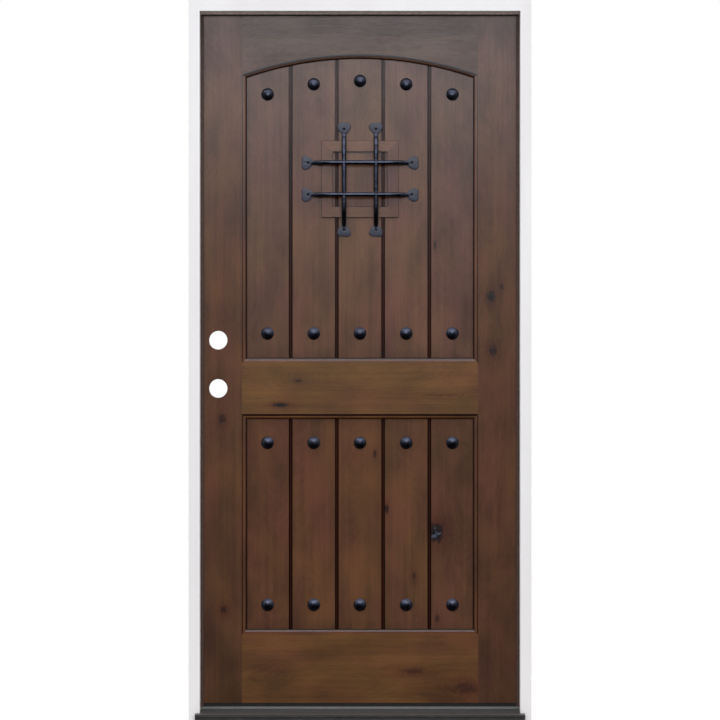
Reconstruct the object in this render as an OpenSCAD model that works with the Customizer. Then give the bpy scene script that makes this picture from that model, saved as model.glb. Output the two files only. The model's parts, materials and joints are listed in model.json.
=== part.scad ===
// Planked entry door with an arched upper panel and a barred speakeasy, hung in its own frame.
// +Z is up and the outside faces -Y. The origin is on the floor under the sill, in the middle of the
// width and of the depth of the jambs. The door opens inwards (+Y) on hinges at +X.

/* [Frame] */
// Overall width over the backs of the jambs
unit_w = 985; // [820:1:1182]
// Overall height from the floor to the back of the head jamb
unit_h = 2070; // [1900:1:2484]
// Depth of the jambs through the wall
jamb_d = 116; // [97:1:139]
// Thickness of a jamb over its stop
jamb_t = 31.75; // [26.5:0.25:38]
// Thickness of a jamb beside the slab, where there is no stop
leg_t = 19; // [16:0.25:22.5]
// Height of the sill under the slab
sill_h = 34; // [28.5:0.1:40.8]
// How far the nose of the sill stands in front of the jambs
nose_out = 27; // [22.5:0.5:33]

/* [Slab] */
// Thickness of the slab
slab_t = 44.5; // [37:0.1:53.4]
// Gap between the slab and the jambs at the sides and the top
slab_gap = 3; // [2.5:0.1:3.6]
// Gap between the slab and the sill, which the sweep fills
foot_gap = 10; // [8.5:0.5:12]
// Width of a stile's flat face
stile_w = 129.5; // [112:0.5:155]
// Height of the top rail's flat face at the crown of the arch
top_rail_h = 129; // [107:1:155]
// Rise of the arch from the stiles to its crown
arch_rise = 59; // [49:1:71]
// Height of the lock rail's flat face
lock_rail_h = 148; // [123:1:178]
// Height of the middle of the lock rail and of the lock bore above the floor
lock_rail_z = 952.7; // [794:0.1:1143]
// Height of the bottom rail's flat face
bottom_rail_h = 198; // [165:1:238]

/* [Panels] */
// How far the planks lie below the faces of the stiles and rails
recess = 8; // [6.7:0.1:9.6]
// Width of the moulded edge round each panel
stick_w = 13.7; // [11.5:0.1:16.5]
// Width of the beaded joint between two planks
joint_w = 12.4; // [11:0.1:14.8]
// Diameter of a clavo's domed head
clavo_d = 36.5; // [30.5:0.5:44]
// Distance from the edge of a panel to the middle of its clavos
clavo_in = 85; // [71:1:102]

/* [Speakeasy] */
// Distance from the crown of the arch down to the middle of the speakeasy
hatch_drop = 361; // [301:0.5:433]
// Side of the square hole in the planks
hatch_hole = 172; // [144:0.1:206.4]
// Width of a trim strip
trim_w = 30; // [25:0.5:36]
// Thickness of a trim strip
trim_t = 5.5; // [4.5:0.1:6.6]
// Diameter of a grille bar
bar_d = 13.5; // [11.5:0.1:16]
// Distance between the two upright bars, and between the two level bars
bar_pitch = 92.5; // [77:0.5:111]
// Height of a bar's middle line above the planks
bar_stand = 22; // [18.5:0.5:26]
// Clearance between a bar's bend and the edge of the trim
bar_clear = 3.3; // [2.8:0.1:3.9]

/* [Lock and hinges] */
// Diameter of the lock bore and the deadbolt bore
bore_d = 54; // [45:0.5:64]
// Diameter of the latch bores in the edge of the door
latch_d = 25.4; // [21.2:0.1:30.4]
// Diameter of the holes for the bolts in the lock jamb
strike_d = 22.2; // [18.5:0.1:26.6]
// Distance from the edge of the door to the middle of the lock bore
backset = 60.3; // [50.5:0.1:72]
// Distance between the lock bore and the deadbolt bore
bore_pitch = 139.7; // [117:0.1:160]
// Height of a hinge
hinge_h = 101.6; // [85:0.1:120]
// Diameter of a hinge's barrel
barrel_d = 13; // [11:0.1:15.6]
// Diameter of a hinge's pin
pin_d = 7.8; // [6.5:0.1:9.3]

/* [Hidden] */
$fn = 48;
EPS = 0.01;

// Colours
WHITE = "#e9e6e3";
WOOD = "#5c4032";
WOOD_DARK = "#4c3327";
WOOD_PALE = "#6b4d3c";
IRON = "#23252c";
BRONZE = "#4a4846";
SEAL = "#453631";
STEEL = "#8b8780";

// Frame
jamb_y0 = -jamb_d / 2;
jamb_y1 = jamb_d / 2;
outer_x = unit_w / 2;
leg_x = outer_x - leg_t;
stop_x = outer_x - jamb_t;
leg_z = unit_h - leg_t;
stop_z = unit_h - jamb_t;
strip_t = 4.5;
strip_out = 9.6;
dado = 9.5;
kerf_w = 3.2;
kerf_d = 10.5;

// Slab
slab_y1 = jamb_y1;
slab_y0 = slab_y1 - slab_t;
slab_mid = (slab_y0 + slab_y1) / 2;
stop_y = slab_y0 - 0.3 - strip_t;
slab_x = leg_x - slab_gap;
slab_bottom = sill_h + foot_gap;
slab_top = leg_z - slab_gap;
arris_x = slab_x - stile_w;
rail_end = arris_x + 5;
plank_y0 = slab_y0 + recess;
plank_y1 = slab_y1 - recess;
plank_t = plank_y1 - plank_y0;

// Panel edges: the flat faces of the rails end at these heights
crown_z = slab_top - top_rail_h;
spring_z = crown_z - arch_rise;
lock_top = lock_rail_z + lock_rail_h / 2;
lock_low = lock_rail_z - lock_rail_h / 2;
bottom_top = slab_bottom + bottom_rail_h;
arch_r = (arris_x * arris_x + arch_rise * arch_rise) / (2 * arch_rise);
arch_z = crown_z - arch_r;

// Planks
PLANKS = 5;
play = 1.5;
pitch = (2 * arris_x - stick_w) / PLANKS;
chamfer = 1;
quirk_w = 2;
quirk_d = 6;
bead_w = joint_w - 2 * chamfer - 2 * quirk_w;
bead_low = 2.7;
tongue_t = plank_t / 3;
tongue_l = 8;
clavo_h = 10;
clavo_shank = 22;
clavo_in_arch = clavo_in - 8;
clavo_in_lock = clavo_in - 2;
shank_r = 2.6;

// Speakeasy
hatch_z = crown_z - hatch_drop;
hatch_gap = 1.5;
hatch_half = hatch_hole / 2;
hatch_w = hatch_hole - 2 * hatch_gap;
trim_lap = 6;
trim_in = hatch_half - trim_lap;
trim_out = trim_in + trim_w;
hatch_y0 = plank_y0 + 0.3;
hatch_pin_x = hatch_half - hatch_gap / 2;
hatch_pin_y = plank_y1 + 3.3;
hatch_barrel_r = 2.9;
hatch_pin_r = 1.5;
hatch_hinge_h = 38;
hatch_hinge_at = 48;
hatch_leaf_w = 15;
hatch_leaf_t = 1.5;
hatch_screw_l = 14;
magnet_r = 4.5;
magnet_l = 9;
knob_x = 36.5 - hatch_w / 2;
hatch_edge = 11;
hatch_joint = min(pitch, hatch_w - joint_w - 2 * hatch_edge) / 2;

// Grille: it was fixed a millimetre above the middle of the hatch
grille_z = hatch_z + 1;
pad_t = 4;
pad_l = 33;
pad_hole_in = 19;
upright_short = 4.5;
upright_low = 2.5;
outer_bend = 80;
inner_bend = 25;
end_stand = 5;
bend = acos(1 - (bar_stand - end_stand) / (outer_bend + inner_bend));
bend_run = (outer_bend + inner_bend) * sin(bend);
bend_drop = bar_stand - trim_t - bar_clear - bar_d / 2;
straight_half = trim_out - sqrt(pow(outer_bend, 2) - pow(outer_bend - bend_drop, 2));
bar_len = 2 * (straight_half + bend_run + pad_l);
grille_screw_r = 2.1;
grille_screw_l = 20;

// Lock
lock_x = backset - slab_x;
deadbolt_z = lock_rail_z + bore_pitch;

// Hinges
leaf_t = 3;
leaf_in = 4.7;
pin_out = 11;
pin_x = slab_x + slab_gap / 2;
pin_y = slab_y1 + pin_out;
leaf_y0 = slab_y0 + leaf_in;
leaf_w = pin_y - leaf_y0;
hinge_from_top = 229;
hinge_from_foot = 305;
hinge_top_z = slab_top - hinge_from_top;
hinge_low_z = slab_bottom + hinge_from_foot;
HINGES = [hinge_low_z, (hinge_low_z + hinge_top_z) / 2, hinge_top_z];
KNUCKLES = 5;
knuckle = hinge_h / KNUCKLES;
knuckle_gap = 0.4;
leaf_screw_r = 2.4;
leaf_head_r = 4.6;
frame_leaf_screw_l = leg_t - 1;
door_leaf_screw_l = 32;
LEAF_SCREWS = [for (h = [-1, 1]) each [[10, h * (hinge_h / 2 - 12.8)], [24, h * (hinge_h / 2 - 36.8)]]];

// Sill
nose_y = jamb_y0 - nose_out;
nose_z = 18.3;
deck_z = sill_h - 9.5;
deck_t = 2.2;
nose_round = 3;
nose_lift = 0.25;
cap_y = slab_y0 - 12;
cap_t = 16;
cap_step = 6;
cap_slope = 4;
sweep_gap = 0.5;
screw_r = 2.2;
screw_head_r = 4.4;
frame_screw_l = 50;
frame_screw_y = 35;
sill_screw_z = 11;

// ---- Placing -------------------------------------------------------------------------------

// Extrudes an outline drawn as [x, z] along Y, from y0 to y1.
module along_y(y0, y1) {
    translate([0, y1, 0])
    rotate([90, 0, 0])
    linear_extrude(y1 - y0)
    children();
}

// Extrudes an outline drawn as [y, z] along X, from x0 to x1.
module along_x(x0, x1) {
    translate([x0, 0, 0])
    rotate([90, 0, 90])
    linear_extrude(x1 - x0)
    children();
}

// A box between two opposite corners.
module span(a, b) {
    translate(a)
    cube(b - a);
}

// A rod along X or Y, starting at p and running to +X or +Y.
module rod_x(p, r, l) {
    translate(p)
    rotate([0, 90, 0])
    cylinder(r = r, h = l);
}

module rod_y(p, r, l) {
    translate(p)
    rotate([-90, 0, 0])
    cylinder(r = r, h = l);
}

// A countersunk wood screw with its head flush at z = 0, driven towards -Z.
module screw(l, r, head_r, grow = 0) {
    cone = (head_r - r) * 1.1;
    translate([0, 0, -cone])
    cylinder(r1 = r + grow, r2 = head_r + grow, h = cone + grow);
    translate([0, 0, -l - grow])
    cylinder(r = r + grow, h = l + grow - cone + EPS);
}

// ---- Mouldings -----------------------------------------------------------------------------

// The moulded edge as [distance from the flat face's end, depth below that face]: a small step,
// a fillet, then an ovolo that ends in a blunt lip.
step_d = 2;
fillet = 1.4;
lip_t = 1.2;
COPE_GAP = 0.02;
MOULDING = concat(
    [[0, 0], [0, step_d]],
    [for (t = [0:15:90])
        [fillet + (stick_w - fillet) * sin(t), step_d + (recess - lip_t - step_d) * (1 - cos(t))]]
);

// The edge of a stile or rail as [position, y]: the flat face ends at a, the lips reach towards s,
// and the groove between them takes the planks. The lips can be grown a little, for a cutter.
function moulded_edge(a, s, grow = 0) =
    let (
        tip = a + s * (stick_w + grow),
        low = plank_y0 + grow,
        high = plank_y1 - grow
    )
    concat(
        [for (m = MOULDING) [a + s * (m[0] > fillet ? m[0] + grow : m[0]), slab_y0 + m[1] - grow]],
        [[tip, low], [a, low], [a, high], [tip, high]],
        [for (m = reverse(MOULDING))
            [a + s * (m[0] > fillet ? m[0] + grow : m[0]), slab_y1 - m[1] + grow]]
    );

function flip(points) = [for (p = points) [p[1], p[0]]];
function reverse(points) = [for (i = [len(points) - 1:-1:0]) points[i]];

// ---- Frame ---------------------------------------------------------------------------------

// The jamb's section as [across, depth]: across is the distance from its back.
function jamb_section() = [
    [0, jamb_y0],
    [0, jamb_y1],
    [leg_t, jamb_y1],
    [leg_t, stop_y - kerf_d],
    [leg_t + kerf_w, stop_y - kerf_d],
    [leg_t + kerf_w, stop_y],
    [jamb_t, stop_y],
    [jamb_t, jamb_y0],
];

// A weatherstrip's section: a barb in the kerf and a round-edged leaf over the stop's face.
module strip_section() {
    translate([leg_t, stop_y - kerf_d + 1])
    square([kerf_w, kerf_d - 1 + EPS]);
    translate([leg_t, stop_y])
    square([jamb_t - leg_t + strip_out - strip_t / 2, strip_t]);
    translate([jamb_t + strip_out - strip_t / 2, stop_y + strip_t / 2])
    circle(d = strip_t);
}

// The top of the sill as [y, z], followed by every piece that stands on it.
function sill_top() = [
    [nose_y + nose_round, nose_z + nose_lift],
    [cap_y, deck_z],
    [cap_y, sill_h - cap_step],
    [cap_y + cap_slope, sill_h],
    [jamb_y1, sill_h],
];

// Side jamb with its back at +X; the lock side is its mirror image.
module side_jamb() {
    difference() {
        translate([outer_x, 0, 0])
        mirror([1, 0, 0])
        linear_extrude(unit_h)
        polygon(jamb_section());
        span([stop_x - 1, jamb_y0 - 1, stop_z], [leg_x, stop_y + 1, unit_h + 1]);
        span([leg_x - 1, jamb_y0 - 1, leg_z], [leg_x + dado, jamb_y1 + 1, unit_h + 1]);
        along_x(stop_x - 1, leg_x)
        polygon(concat([[nose_y, -1]], sill_top(), [[jamb_y1, -1]]));
        side_jamb_screws(0.15);
    }
}

// Two screws into the head and two into the sill.
module side_jamb_screws(grow = 0) {
    for (y = [-frame_screw_y, frame_screw_y], z = [sill_screw_z, unit_h - leg_t / 2])
        translate([outer_x, y, z])
        rotate([0, 90, 0])
        screw(frame_screw_l, screw_r, screw_head_r, grow);
}

module jamb_hinge_side() {
    color(WHITE)
    difference() {
        side_jamb();
        for (z = HINGES) {
            span([leg_x - 1, leaf_y0, z - hinge_h / 2], [leg_x + leaf_t, jamb_y1 + 1, z + hinge_h / 2]);
            frame_leaf_screws(z, 0.15);
        }
    }
}

module jamb_lock_side() {
    color(WHITE)
    difference() {
        mirror([1, 0, 0])
        side_jamb();
        for (z = [lock_rail_z, deadbolt_z])
            rod_x([-outer_x - 1, slab_mid, z], strike_d / 2, leg_t + 2);
    }
}

module head_jamb() {
    color(WHITE)
    difference() {
        union() {
            along_x(-leg_x, leg_x)
            translate([0, unit_h])
            mirror([0, 1])
            polygon(flip(jamb_section()));
            for (s = [-1, 1])
                translate([s * (leg_x + dado / 2 - 2), 0, unit_h - leg_t / 2])
                cube([dado + 4, jamb_d, leg_t], center = true);
        }
        for (s = [0, 1])
            mirror([s, 0, 0])
            side_jamb_screws(0.15);
    }
}

module side_strip() {
    top = stop_z - strip_out;
    difference() {
        translate([outer_x, 0, 0])
        mirror([1, 0, 0])
        linear_extrude(top)
        strip_section();
        along_x(stop_x - strip_out - 1, leg_x + 1)
        polygon(concat([[nose_y, -1]], sill_top(), [[jamb_y1, -1]]));
    }
}

module weatherstrip_hinge_side() {
    color(SEAL)
    side_strip();
}

module weatherstrip_lock_side() {
    color(SEAL)
    mirror([1, 0, 0])
    side_strip();
}

module weatherstrip_head() {
    color(SEAL)
    along_x(-leg_x, leg_x)
    translate([0, unit_h])
    mirror([0, 1])
    rotate(90)
    mirror([0, 1])
    strip_section();
}

module sill_substrate() {
    low = deck_t + 0.05;
    color("#3a3735")
    difference() {
        along_x(-leg_x, leg_x)
        polygon([
            [nose_y + deck_t + 2.5, 0],
            [nose_y + deck_t + 2.5, nose_z - low],
            [cap_y, deck_z - low],
            [cap_y, sill_h - cap_t],
            [jamb_y1, sill_h - cap_t],
            [jamb_y1, 0],
        ]);
        for (s = [0, 1])
            mirror([s, 0, 0])
            side_jamb_screws(0.15);
    }
}

// Bronze aluminium extrusion: the sloping deck and a nose with two drip grooves.
module sill_deck() {
    groove = 2.5;
    color(BRONZE)
    along_x(-leg_x, leg_x)
    polygon([
        [cap_y, deck_z],
        [nose_y + nose_round, nose_z + nose_lift],
        [nose_y + 1, nose_z - 0.5],
        [nose_y, nose_z - 1.5],
        [nose_y, nose_z - 2.3],
        [nose_y + groove, nose_z - 2.3],
        [nose_y + groove, nose_z - 3.7],
        [nose_y, nose_z - 3.7],
        [nose_y, 10.3],
        [nose_y + groove, 10.3],
        [nose_y + groove, 7],
        [nose_y, 7],
        [nose_y, 0],
        [nose_y + deck_t + 2.5, 0],
        [nose_y + deck_t + 2.5, nose_z - deck_t],
        [cap_y, deck_z - deck_t],
    ]);
}

module sill_cap() {
    color("#3c3733")
    along_x(-leg_x, leg_x)
    polygon([
        [cap_y, sill_h - cap_t],
        [cap_y, sill_h - cap_step],
        [cap_y + cap_slope, sill_h],
        [jamb_y1, sill_h],
        [jamb_y1, sill_h - cap_t],
    ]);
}

module frame_screws() {
    color(STEEL)
    for (s = [0, 1])
        mirror([s, 0, 0])
        side_jamb_screws();
}

// ---- Slab ----------------------------------------------------------------------------------

// Stile at +X without its bores and mortises, or a cutter that is larger all round by grow.
module stile_blank(grow = 0) {
    translate([0, 0, slab_bottom - grow])
    linear_extrude(slab_top - slab_bottom + 2 * grow)
    polygon(concat(
        [[slab_x, slab_y0 - grow]],
        moulded_edge(arris_x, -1, grow),
        [[slab_x, slab_y1 + grow]]
    ));
}

// Two dowels in each end of the top and lock rails, three in the bottom rail.
dowel_r = 8;
dowel_half = 60;
dowel_in = 20;
dowel_foot = 40;
DOWELS = [
    slab_bottom + dowel_foot, (slab_bottom + dowel_foot + bottom_top - 1.5 * dowel_in) / 2,
    bottom_top - 1.5 * dowel_in,
    lock_low + dowel_in, lock_top - dowel_in,
    spring_z + dowel_foot - 5, slab_top - dowel_foot,
];

module dowels(grow = 0) {
    for (s = [-1, 1], z = DOWELS)
        rod_x([s * arris_x - dowel_half - grow, slab_mid, z], dowel_r + grow, 2 * dowel_half + 2 * grow);
}

module stile_lock_side() {
    color(WOOD)
    difference() {
        mirror([1, 0, 0])
        stile_blank();
        dowels(0.1);
        for (z = [lock_rail_z, deadbolt_z]) {
            rod_y([lock_x, slab_y0 - 1, z], bore_d / 2, slab_t + 2);
            rod_x([-slab_x - 1, slab_mid, z], latch_d / 2, backset + 1);
        }
    }
}

module stile_hinge_side() {
    color(WOOD)
    difference() {
        stile_blank();
        dowels(0.1);
        for (z = HINGES) {
            span([slab_x - leaf_t, leaf_y0, z - hinge_h / 2], [slab_x + 1, slab_y1 + 1, z + hinge_h / 2]);
            door_leaf_screws(z, 0.15);
        }
    }
}

// Trims a rail's ends to the stiles' moulded edges and drills them.
module coped() {
    difference() {
        children();
        stile_blank(COPE_GAP);
        mirror([1, 0, 0])
        stile_blank(COPE_GAP);
        dowels(0.1);
    }
}

// A ring whose inner edge is the arch's moulded edge, wide enough to hold the whole top rail.
module arch_ring() {
    ring_angle = 60;
    outside = arch_r + 2 * (arch_rise + top_rail_h);
    translate([0, 0, arch_z])
    rotate([-90, 0, 0])
    rotate([0, 0, -90 - ring_angle / 2])
    rotate_extrude(angle = ring_angle, $fn = 360)
    polygon(concat(moulded_edge(arch_r, -1), [[outside, slab_y1], [outside, slab_y0]]));
}

module top_rail() {
    color(WOOD)
    coped()
    intersection() {
        arch_ring();
        span([-rail_end, slab_y0 - 1, arch_z], [rail_end, slab_y1 + 1, slab_top]);
    }
}

module lock_rail() {
    color(WOOD)
    coped()
    along_x(-rail_end, rail_end)
    polygon(flip(concat(moulded_edge(lock_low, -1), reverse(moulded_edge(lock_top, 1)))));
}

module bottom_rail() {
    color(WOOD)
    coped()
    along_x(-rail_end, rail_end)
    polygon(flip(concat(
        [[slab_bottom, slab_y1], [slab_bottom, slab_y0]],
        moulded_edge(bottom_top, 1)
    )));
}

module rail_dowels() {
    color(WOOD_PALE)
    dowels();
}

// The tongue side of a plank, as [x, depth below the face] from face to face. The joint's middle
// is at j; the bead's crown lies below the face, between two quirks.
function tongue_side(j) =
    let (
        right = j + bead_w / 2,
        wall = j - bead_w / 2 - quirk_w,
        half = concat(
            [[wall - chamfer, 0], [wall, chamfer], [wall, quirk_d], [wall + quirk_w, quirk_d]],
            [for (t = [180:-30:0]) [j + bead_w / 2 * cos(t), bead_low + 2 * (1 - sin(t))]],
            [[right, tongue_t], [right + tongue_l, tongue_t]]
        )
    )
    concat(half, [for (p = reverse(half)) [p[0], plank_t - p[1]]]);

// The grooved side of the next plank, in the same order.
function groove_side(j) =
    let (
        wall = j + bead_w / 2 + quirk_w,
        shoulder = j + bead_w / 2 + 0.3,
        half = [
            [wall + chamfer, 0],
            [wall, chamfer],
            [wall, quirk_d],
            [shoulder, quirk_d],
            [shoulder, tongue_t - 0.2],
            [shoulder + tongue_l + 0.5, tongue_t - 0.2],
        ]
    )
    concat(half, [for (p = reverse(half)) [p[0], plank_t - p[1]]]);

function plain_side(x) = [[x, 0], [x, plank_t]];

// The middle of plank i of a panel, 1 at the lock side.
function plank_x(i) = (i - (PLANKS + 1) / 2) * pitch;

// A plank between its left and right sides, as tall as z0 to z1.

module board(left, right, z0, z1) {
    translate([0, plank_y0, z0])
    linear_extrude(z1 - z0)
    polygon(concat(right, reverse(left)));
}

module plank(i, z0, z1) {
    edge = arris_x - play;
    left = i == 1 ? plain_side(-edge) : groove_side(plank_x(i) - pitch / 2);
    right = i == PLANKS ? plain_side(edge) : tongue_side(plank_x(i) + pitch / 2);
    board(left, right, z0, z1);
}

// The height at x of an arc that runs inside the arch, by inset.
function arch_at(x, inset = 0) = arch_z + sqrt(pow(arch_r - inset, 2) - x * x);

// Heights of the clavos on plank i: under the arch, above and below the lock rail, and at the foot.
function clavo_heights(i) = [
    arch_at(plank_x(i), clavo_in_arch),
    lock_top + clavo_in,
    lock_low - clavo_in_lock,
    bottom_top + clavo_in,
];

module clavo(i, z) {
    ball = (pow(clavo_d / 2, 2) + clavo_h * clavo_h) / (2 * clavo_h);
    translate([plank_x(i), plank_y0, z])
    rotate([90, 0, 0])
    union() {
        intersection() {
            translate([0, 0, clavo_h - ball])
            sphere(r = ball);
            cylinder(r = clavo_d, h = 2 * clavo_h);
        }
        translate([0, 0, -clavo_shank])
        cylinder(r = shank_r, h = clavo_shank + 1);
    }
}

module clavos() {
    color(IRON)
    for (i = [1:PLANKS], z = clavo_heights(i))
        clavo(i, z);
}

module clavo_holes(i) {
    for (z = clavo_heights(i))
        rod_y([plank_x(i), plank_y0 - 1, z], shank_r + 0.1, clavo_shank + 2);
}

module hatch_opening() {
    span(
        [-hatch_half, plank_y0 - 1, hatch_z - hatch_half],
        [hatch_half, plank_y1 + 1, hatch_z + hatch_half]
    );
}

module upper_plank(i) {
    color(i % 2 == 0 ? WOOD : WOOD_PALE)
    difference() {
        intersection() {
            plank(i, lock_top + play, crown_z);
            rod_y([0, slab_y0, arch_z], arch_r - play, slab_t, $fn = 360);
        }
        hatch_opening();
        clavo_holes(i);
        grille_screw_set(0.1);
        hatch_fixed_screw_set(0.1);
        hatch_plate_room();
    }
}

module upper_plank_half(z0, z1) {
    intersection() {
        upper_plank(3);
        span([-arris_x, slab_y0, z0], [arris_x, slab_y1, z1]);
    }
}

module upper_plank_1() { upper_plank(1); }
module upper_plank_2() { upper_plank(2); }
module upper_plank_3_above() { upper_plank_half(hatch_z, slab_top); }
module upper_plank_3_below() { upper_plank_half(slab_bottom, hatch_z); }
module upper_plank_4() { upper_plank(4); }
module upper_plank_5() { upper_plank(5); }

module lower_plank(i) {
    color(i % 2 == 0 ? WOOD : WOOD_DARK)
    difference() {
        plank(i, bottom_top + play, lock_low - play);
        clavo_holes(i);
    }
}

module lower_plank_1() { lower_plank(1); }
module lower_plank_2() { lower_plank(2); }
module lower_plank_3() { lower_plank(3); }
module lower_plank_4() { lower_plank(4); }
module lower_plank_5() { lower_plank(5); }

// A soft sweep with three fins, stapled under the slab.
module door_sweep() {
    fin = 3;
    color("#1f1d1c")
    union() {
        span([-slab_x, slab_y0 + 1, slab_bottom - 3], [slab_x, slab_y1 - 1, slab_bottom]);
        for (y = [slab_y0 + 1, slab_mid - fin / 2, slab_y1 - 1 - fin])
            span([-slab_x, y, sill_h + sweep_gap], [slab_x, y + fin, slab_bottom - 2]);
    }
}

// ---- Main hinges ---------------------------------------------------------------------------

// The knuckles of one leaf: the frame's leaf has the odd ones, the door's leaf the even ones.
module knuckles(z, first, r, gap) {
    for (k = [first:2:KNUCKLES - 1])
        translate([pin_x, pin_y, z - hinge_h / 2 + k * knuckle + gap / 2])
        cylinder(r = r, h = knuckle - gap);
}

// A leaf plate with round corners in its mortise, from x0 to x0 + leaf_t.
module leaf_plate(x0, z) {
    corner = 6;
    along_x(x0, x0 + leaf_t)
    translate([0, z]) {
        translate([leaf_y0 + corner, -hinge_h / 2])
        square([leaf_w - corner, hinge_h]);
        translate([leaf_y0, corner - hinge_h / 2])
        square([corner, hinge_h - 2 * corner]);
        for (s = [-1, 1])
            translate([leaf_y0 + corner, s * (hinge_h / 2 - corner)])
            circle(r = corner);
    }
}

module hinge_leaf(z, x0, first) {
    difference() {
        union() {
            leaf_plate(x0, z);
            knuckles(z, first, barrel_d / 2, knuckle_gap);
        }
        knuckles(z, 1 - first, barrel_d / 2 + 0.5, -knuckle_gap);
        translate([pin_x, pin_y, z - hinge_h])
        cylinder(d = pin_d + 0.2, h = 2 * hinge_h);
    }
}

module frame_leaf_screws(z, grow = 0) {
    for (p = LEAF_SCREWS)
        translate([leg_x, leaf_y0 + p[0], z + p[1]])
        rotate([0, -90, 0])
        screw(frame_leaf_screw_l, leaf_screw_r, leaf_head_r, grow);
}

module door_leaf_screws(z, grow = 0) {
    for (p = LEAF_SCREWS)
        translate([slab_x, leaf_y0 + p[0], z + p[1]])
        rotate([0, 90, 0])
        screw(door_leaf_screw_l, leaf_screw_r, leaf_head_r, grow);
}

module frame_leaf(i) {
    color(STEEL)
    difference() {
        hinge_leaf(HINGES[i], leg_x, 0);
        frame_leaf_screws(HINGES[i], 0.15);
    }
}

module door_leaf(i) {
    color(STEEL)
    difference() {
        hinge_leaf(HINGES[i], slab_x - leaf_t, 1);
        door_leaf_screws(HINGES[i], 0.15);
    }
}

module hinge_bottom_frame_leaf() { frame_leaf(0); }
module hinge_middle_frame_leaf() { frame_leaf(1); }
module hinge_top_frame_leaf() { frame_leaf(2); }
module hinge_bottom_door_leaf() { door_leaf(0); }
module hinge_middle_door_leaf() { door_leaf(1); }
module hinge_top_door_leaf() { door_leaf(2); }

// Loose pins with a button head that rests on the frame leaf.
module hinge_pins() {
    head = 3;
    color(STEEL)
    for (z = HINGES)
        translate([pin_x, pin_y, z - hinge_h / 2 - head])
        union() {
            cylinder(d = pin_d, h = hinge_h + head + 0.1);
            translate([0, 0, hinge_h + head])
            cylinder(d = barrel_d, h = head);
        }
}

module hinge_screws_frame() {
    color(STEEL)
    for (z = HINGES)
        frame_leaf_screws(z);
}

module hinge_screws_door() {
    color(STEEL)
    for (z = HINGES)
        door_leaf_screws(z);
}

// ---- Speakeasy -----------------------------------------------------------------------------

// A mitred strip of the trim; turns of 90 degrees put it on each side of the hole.
module trim(turn) {
    color(WOOD_PALE)
    translate([0, 0, hatch_z])
    rotate([0, turn, 0])
    along_y(plank_y0 - trim_t, plank_y0)
    polygon([
        [-trim_out, trim_out],
        [trim_out, trim_out],
        [trim_in, trim_in],
        [-trim_in, trim_in],
    ]);
}

module trim_top() { trim(0); }
module trim_right() { trim(90); }
module trim_bottom() { trim(180); }
module trim_left() { trim(270); }

// The hatch's boards line up with the planks above and below it. Board -1 is the left one.
module hatch_board(i) {
    half = hatch_w / 2;
    left = i == -1 ? plain_side(-half) : groove_side((i - 0.5) * 2 * hatch_joint);
    right = i == 1 ? plain_side(half) : tongue_side((i + 0.5) * 2 * hatch_joint);
    color(WOOD)
    difference() {
        intersection() {
            board(left, right, hatch_z - half, hatch_z + half);
            span([-half - 1, hatch_y0, hatch_z - half], [half + 1, plank_y1, hatch_z + half]);
        }
        magnet(0.1);
        hatch_moving_screw_set(0.1);
        rod_y([knob_x, plank_y1 - 13, hatch_z], 2.1, 20);
    }
}

module hatch_board_left() { hatch_board(-1); }
module hatch_board_middle() { hatch_board(0); }
module hatch_board_right() { hatch_board(1); }

// A turned knob with its own screw stem, on the inside of the hatch.
module hatch_knob() {
    color(IRON)
    translate([knob_x, plank_y1, hatch_z])
    rotate([-90, 0, 0])
    union() {
        rotate_extrude()
        polygon(concat(
            [[0, 0], [9, 0], [9, 2], [4.5, 5], [4.5, 11]],
            [for (t = [-60:15:90]) [11 * cos(t), 17 + 5.5 * sin(t)]]
        ));
        translate([0, 0, -12])
        cylinder(r = 2, h = 13);
    }
}

module magnet(grow = 0) {
    rod_x([-hatch_w / 2 - grow, (hatch_y0 + plank_y1) / 2, hatch_z], magnet_r + grow, magnet_l + grow);
}

module hatch_magnet() {
    color(STEEL)
    magnet();
}

// The steel plate that the magnet draws to, let into the side of the hole.
plate_t = 1.5;
plate_w = 14;
plate_h = 34;

module hatch_plate_room() {
    mid = (hatch_y0 + plank_y1) / 2;
    span(
        [-hatch_half - plate_t, mid - plate_w / 2, hatch_z - plate_h / 2],
        [-hatch_half, mid + plate_w / 2, hatch_z + plate_h / 2]
    );
}

module hatch_catch_plate() {
    color(STEEL)
    hatch_plate_room();
}

// Two small surface hinges on the inside, each with three knuckles.
module hatch_hinge_leaf(z, s, first) {
    third = hatch_hinge_h / 3;
    gap = 0.3;
    base = z - hatch_hinge_h / 2;
    difference() {
        union() {
            span(
                [min(0, s * hatch_leaf_w) + hatch_pin_x, plank_y1, base],
                [max(0, s * hatch_leaf_w) + hatch_pin_x, plank_y1 + hatch_leaf_t, base + hatch_hinge_h]
            );
            for (k = [first:2:2])
                translate([hatch_pin_x, hatch_pin_y, base + k * third + gap / 2])
                cylinder(r = hatch_barrel_r, h = third - gap);
        }
        for (k = [1 - first:2:2])
            translate([hatch_pin_x, hatch_pin_y, base + k * third - gap / 2])
            cylinder(r = hatch_barrel_r + 0.5, h = third + gap);
        translate([hatch_pin_x, hatch_pin_y, base - 1])
        cylinder(r = hatch_pin_r + 0.1, h = hatch_hinge_h + 2);
    }
}

module hatch_leaf_screws(s, grow = 0) {
    for (h = [-1, 1], z = [-12, 12])
        translate([hatch_pin_x + s * 9, plank_y1 + hatch_leaf_t, hatch_z + h * hatch_hinge_at + z])
        rotate([-90, 0, 0])
        screw(hatch_screw_l, 1.2, 2.3, grow);
}

module hatch_fixed_screw_set(grow) { hatch_leaf_screws(1, grow); }
module hatch_moving_screw_set(grow) { hatch_leaf_screws(-1, grow); }

module hatch_hinge_fixed_leaves() {
    color(STEEL)
    difference() {
        for (h = [-1, 1])
            hatch_hinge_leaf(hatch_z + h * hatch_hinge_at, 1, 0);
        hatch_leaf_screws(1, 0.1);
    }
}

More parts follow.
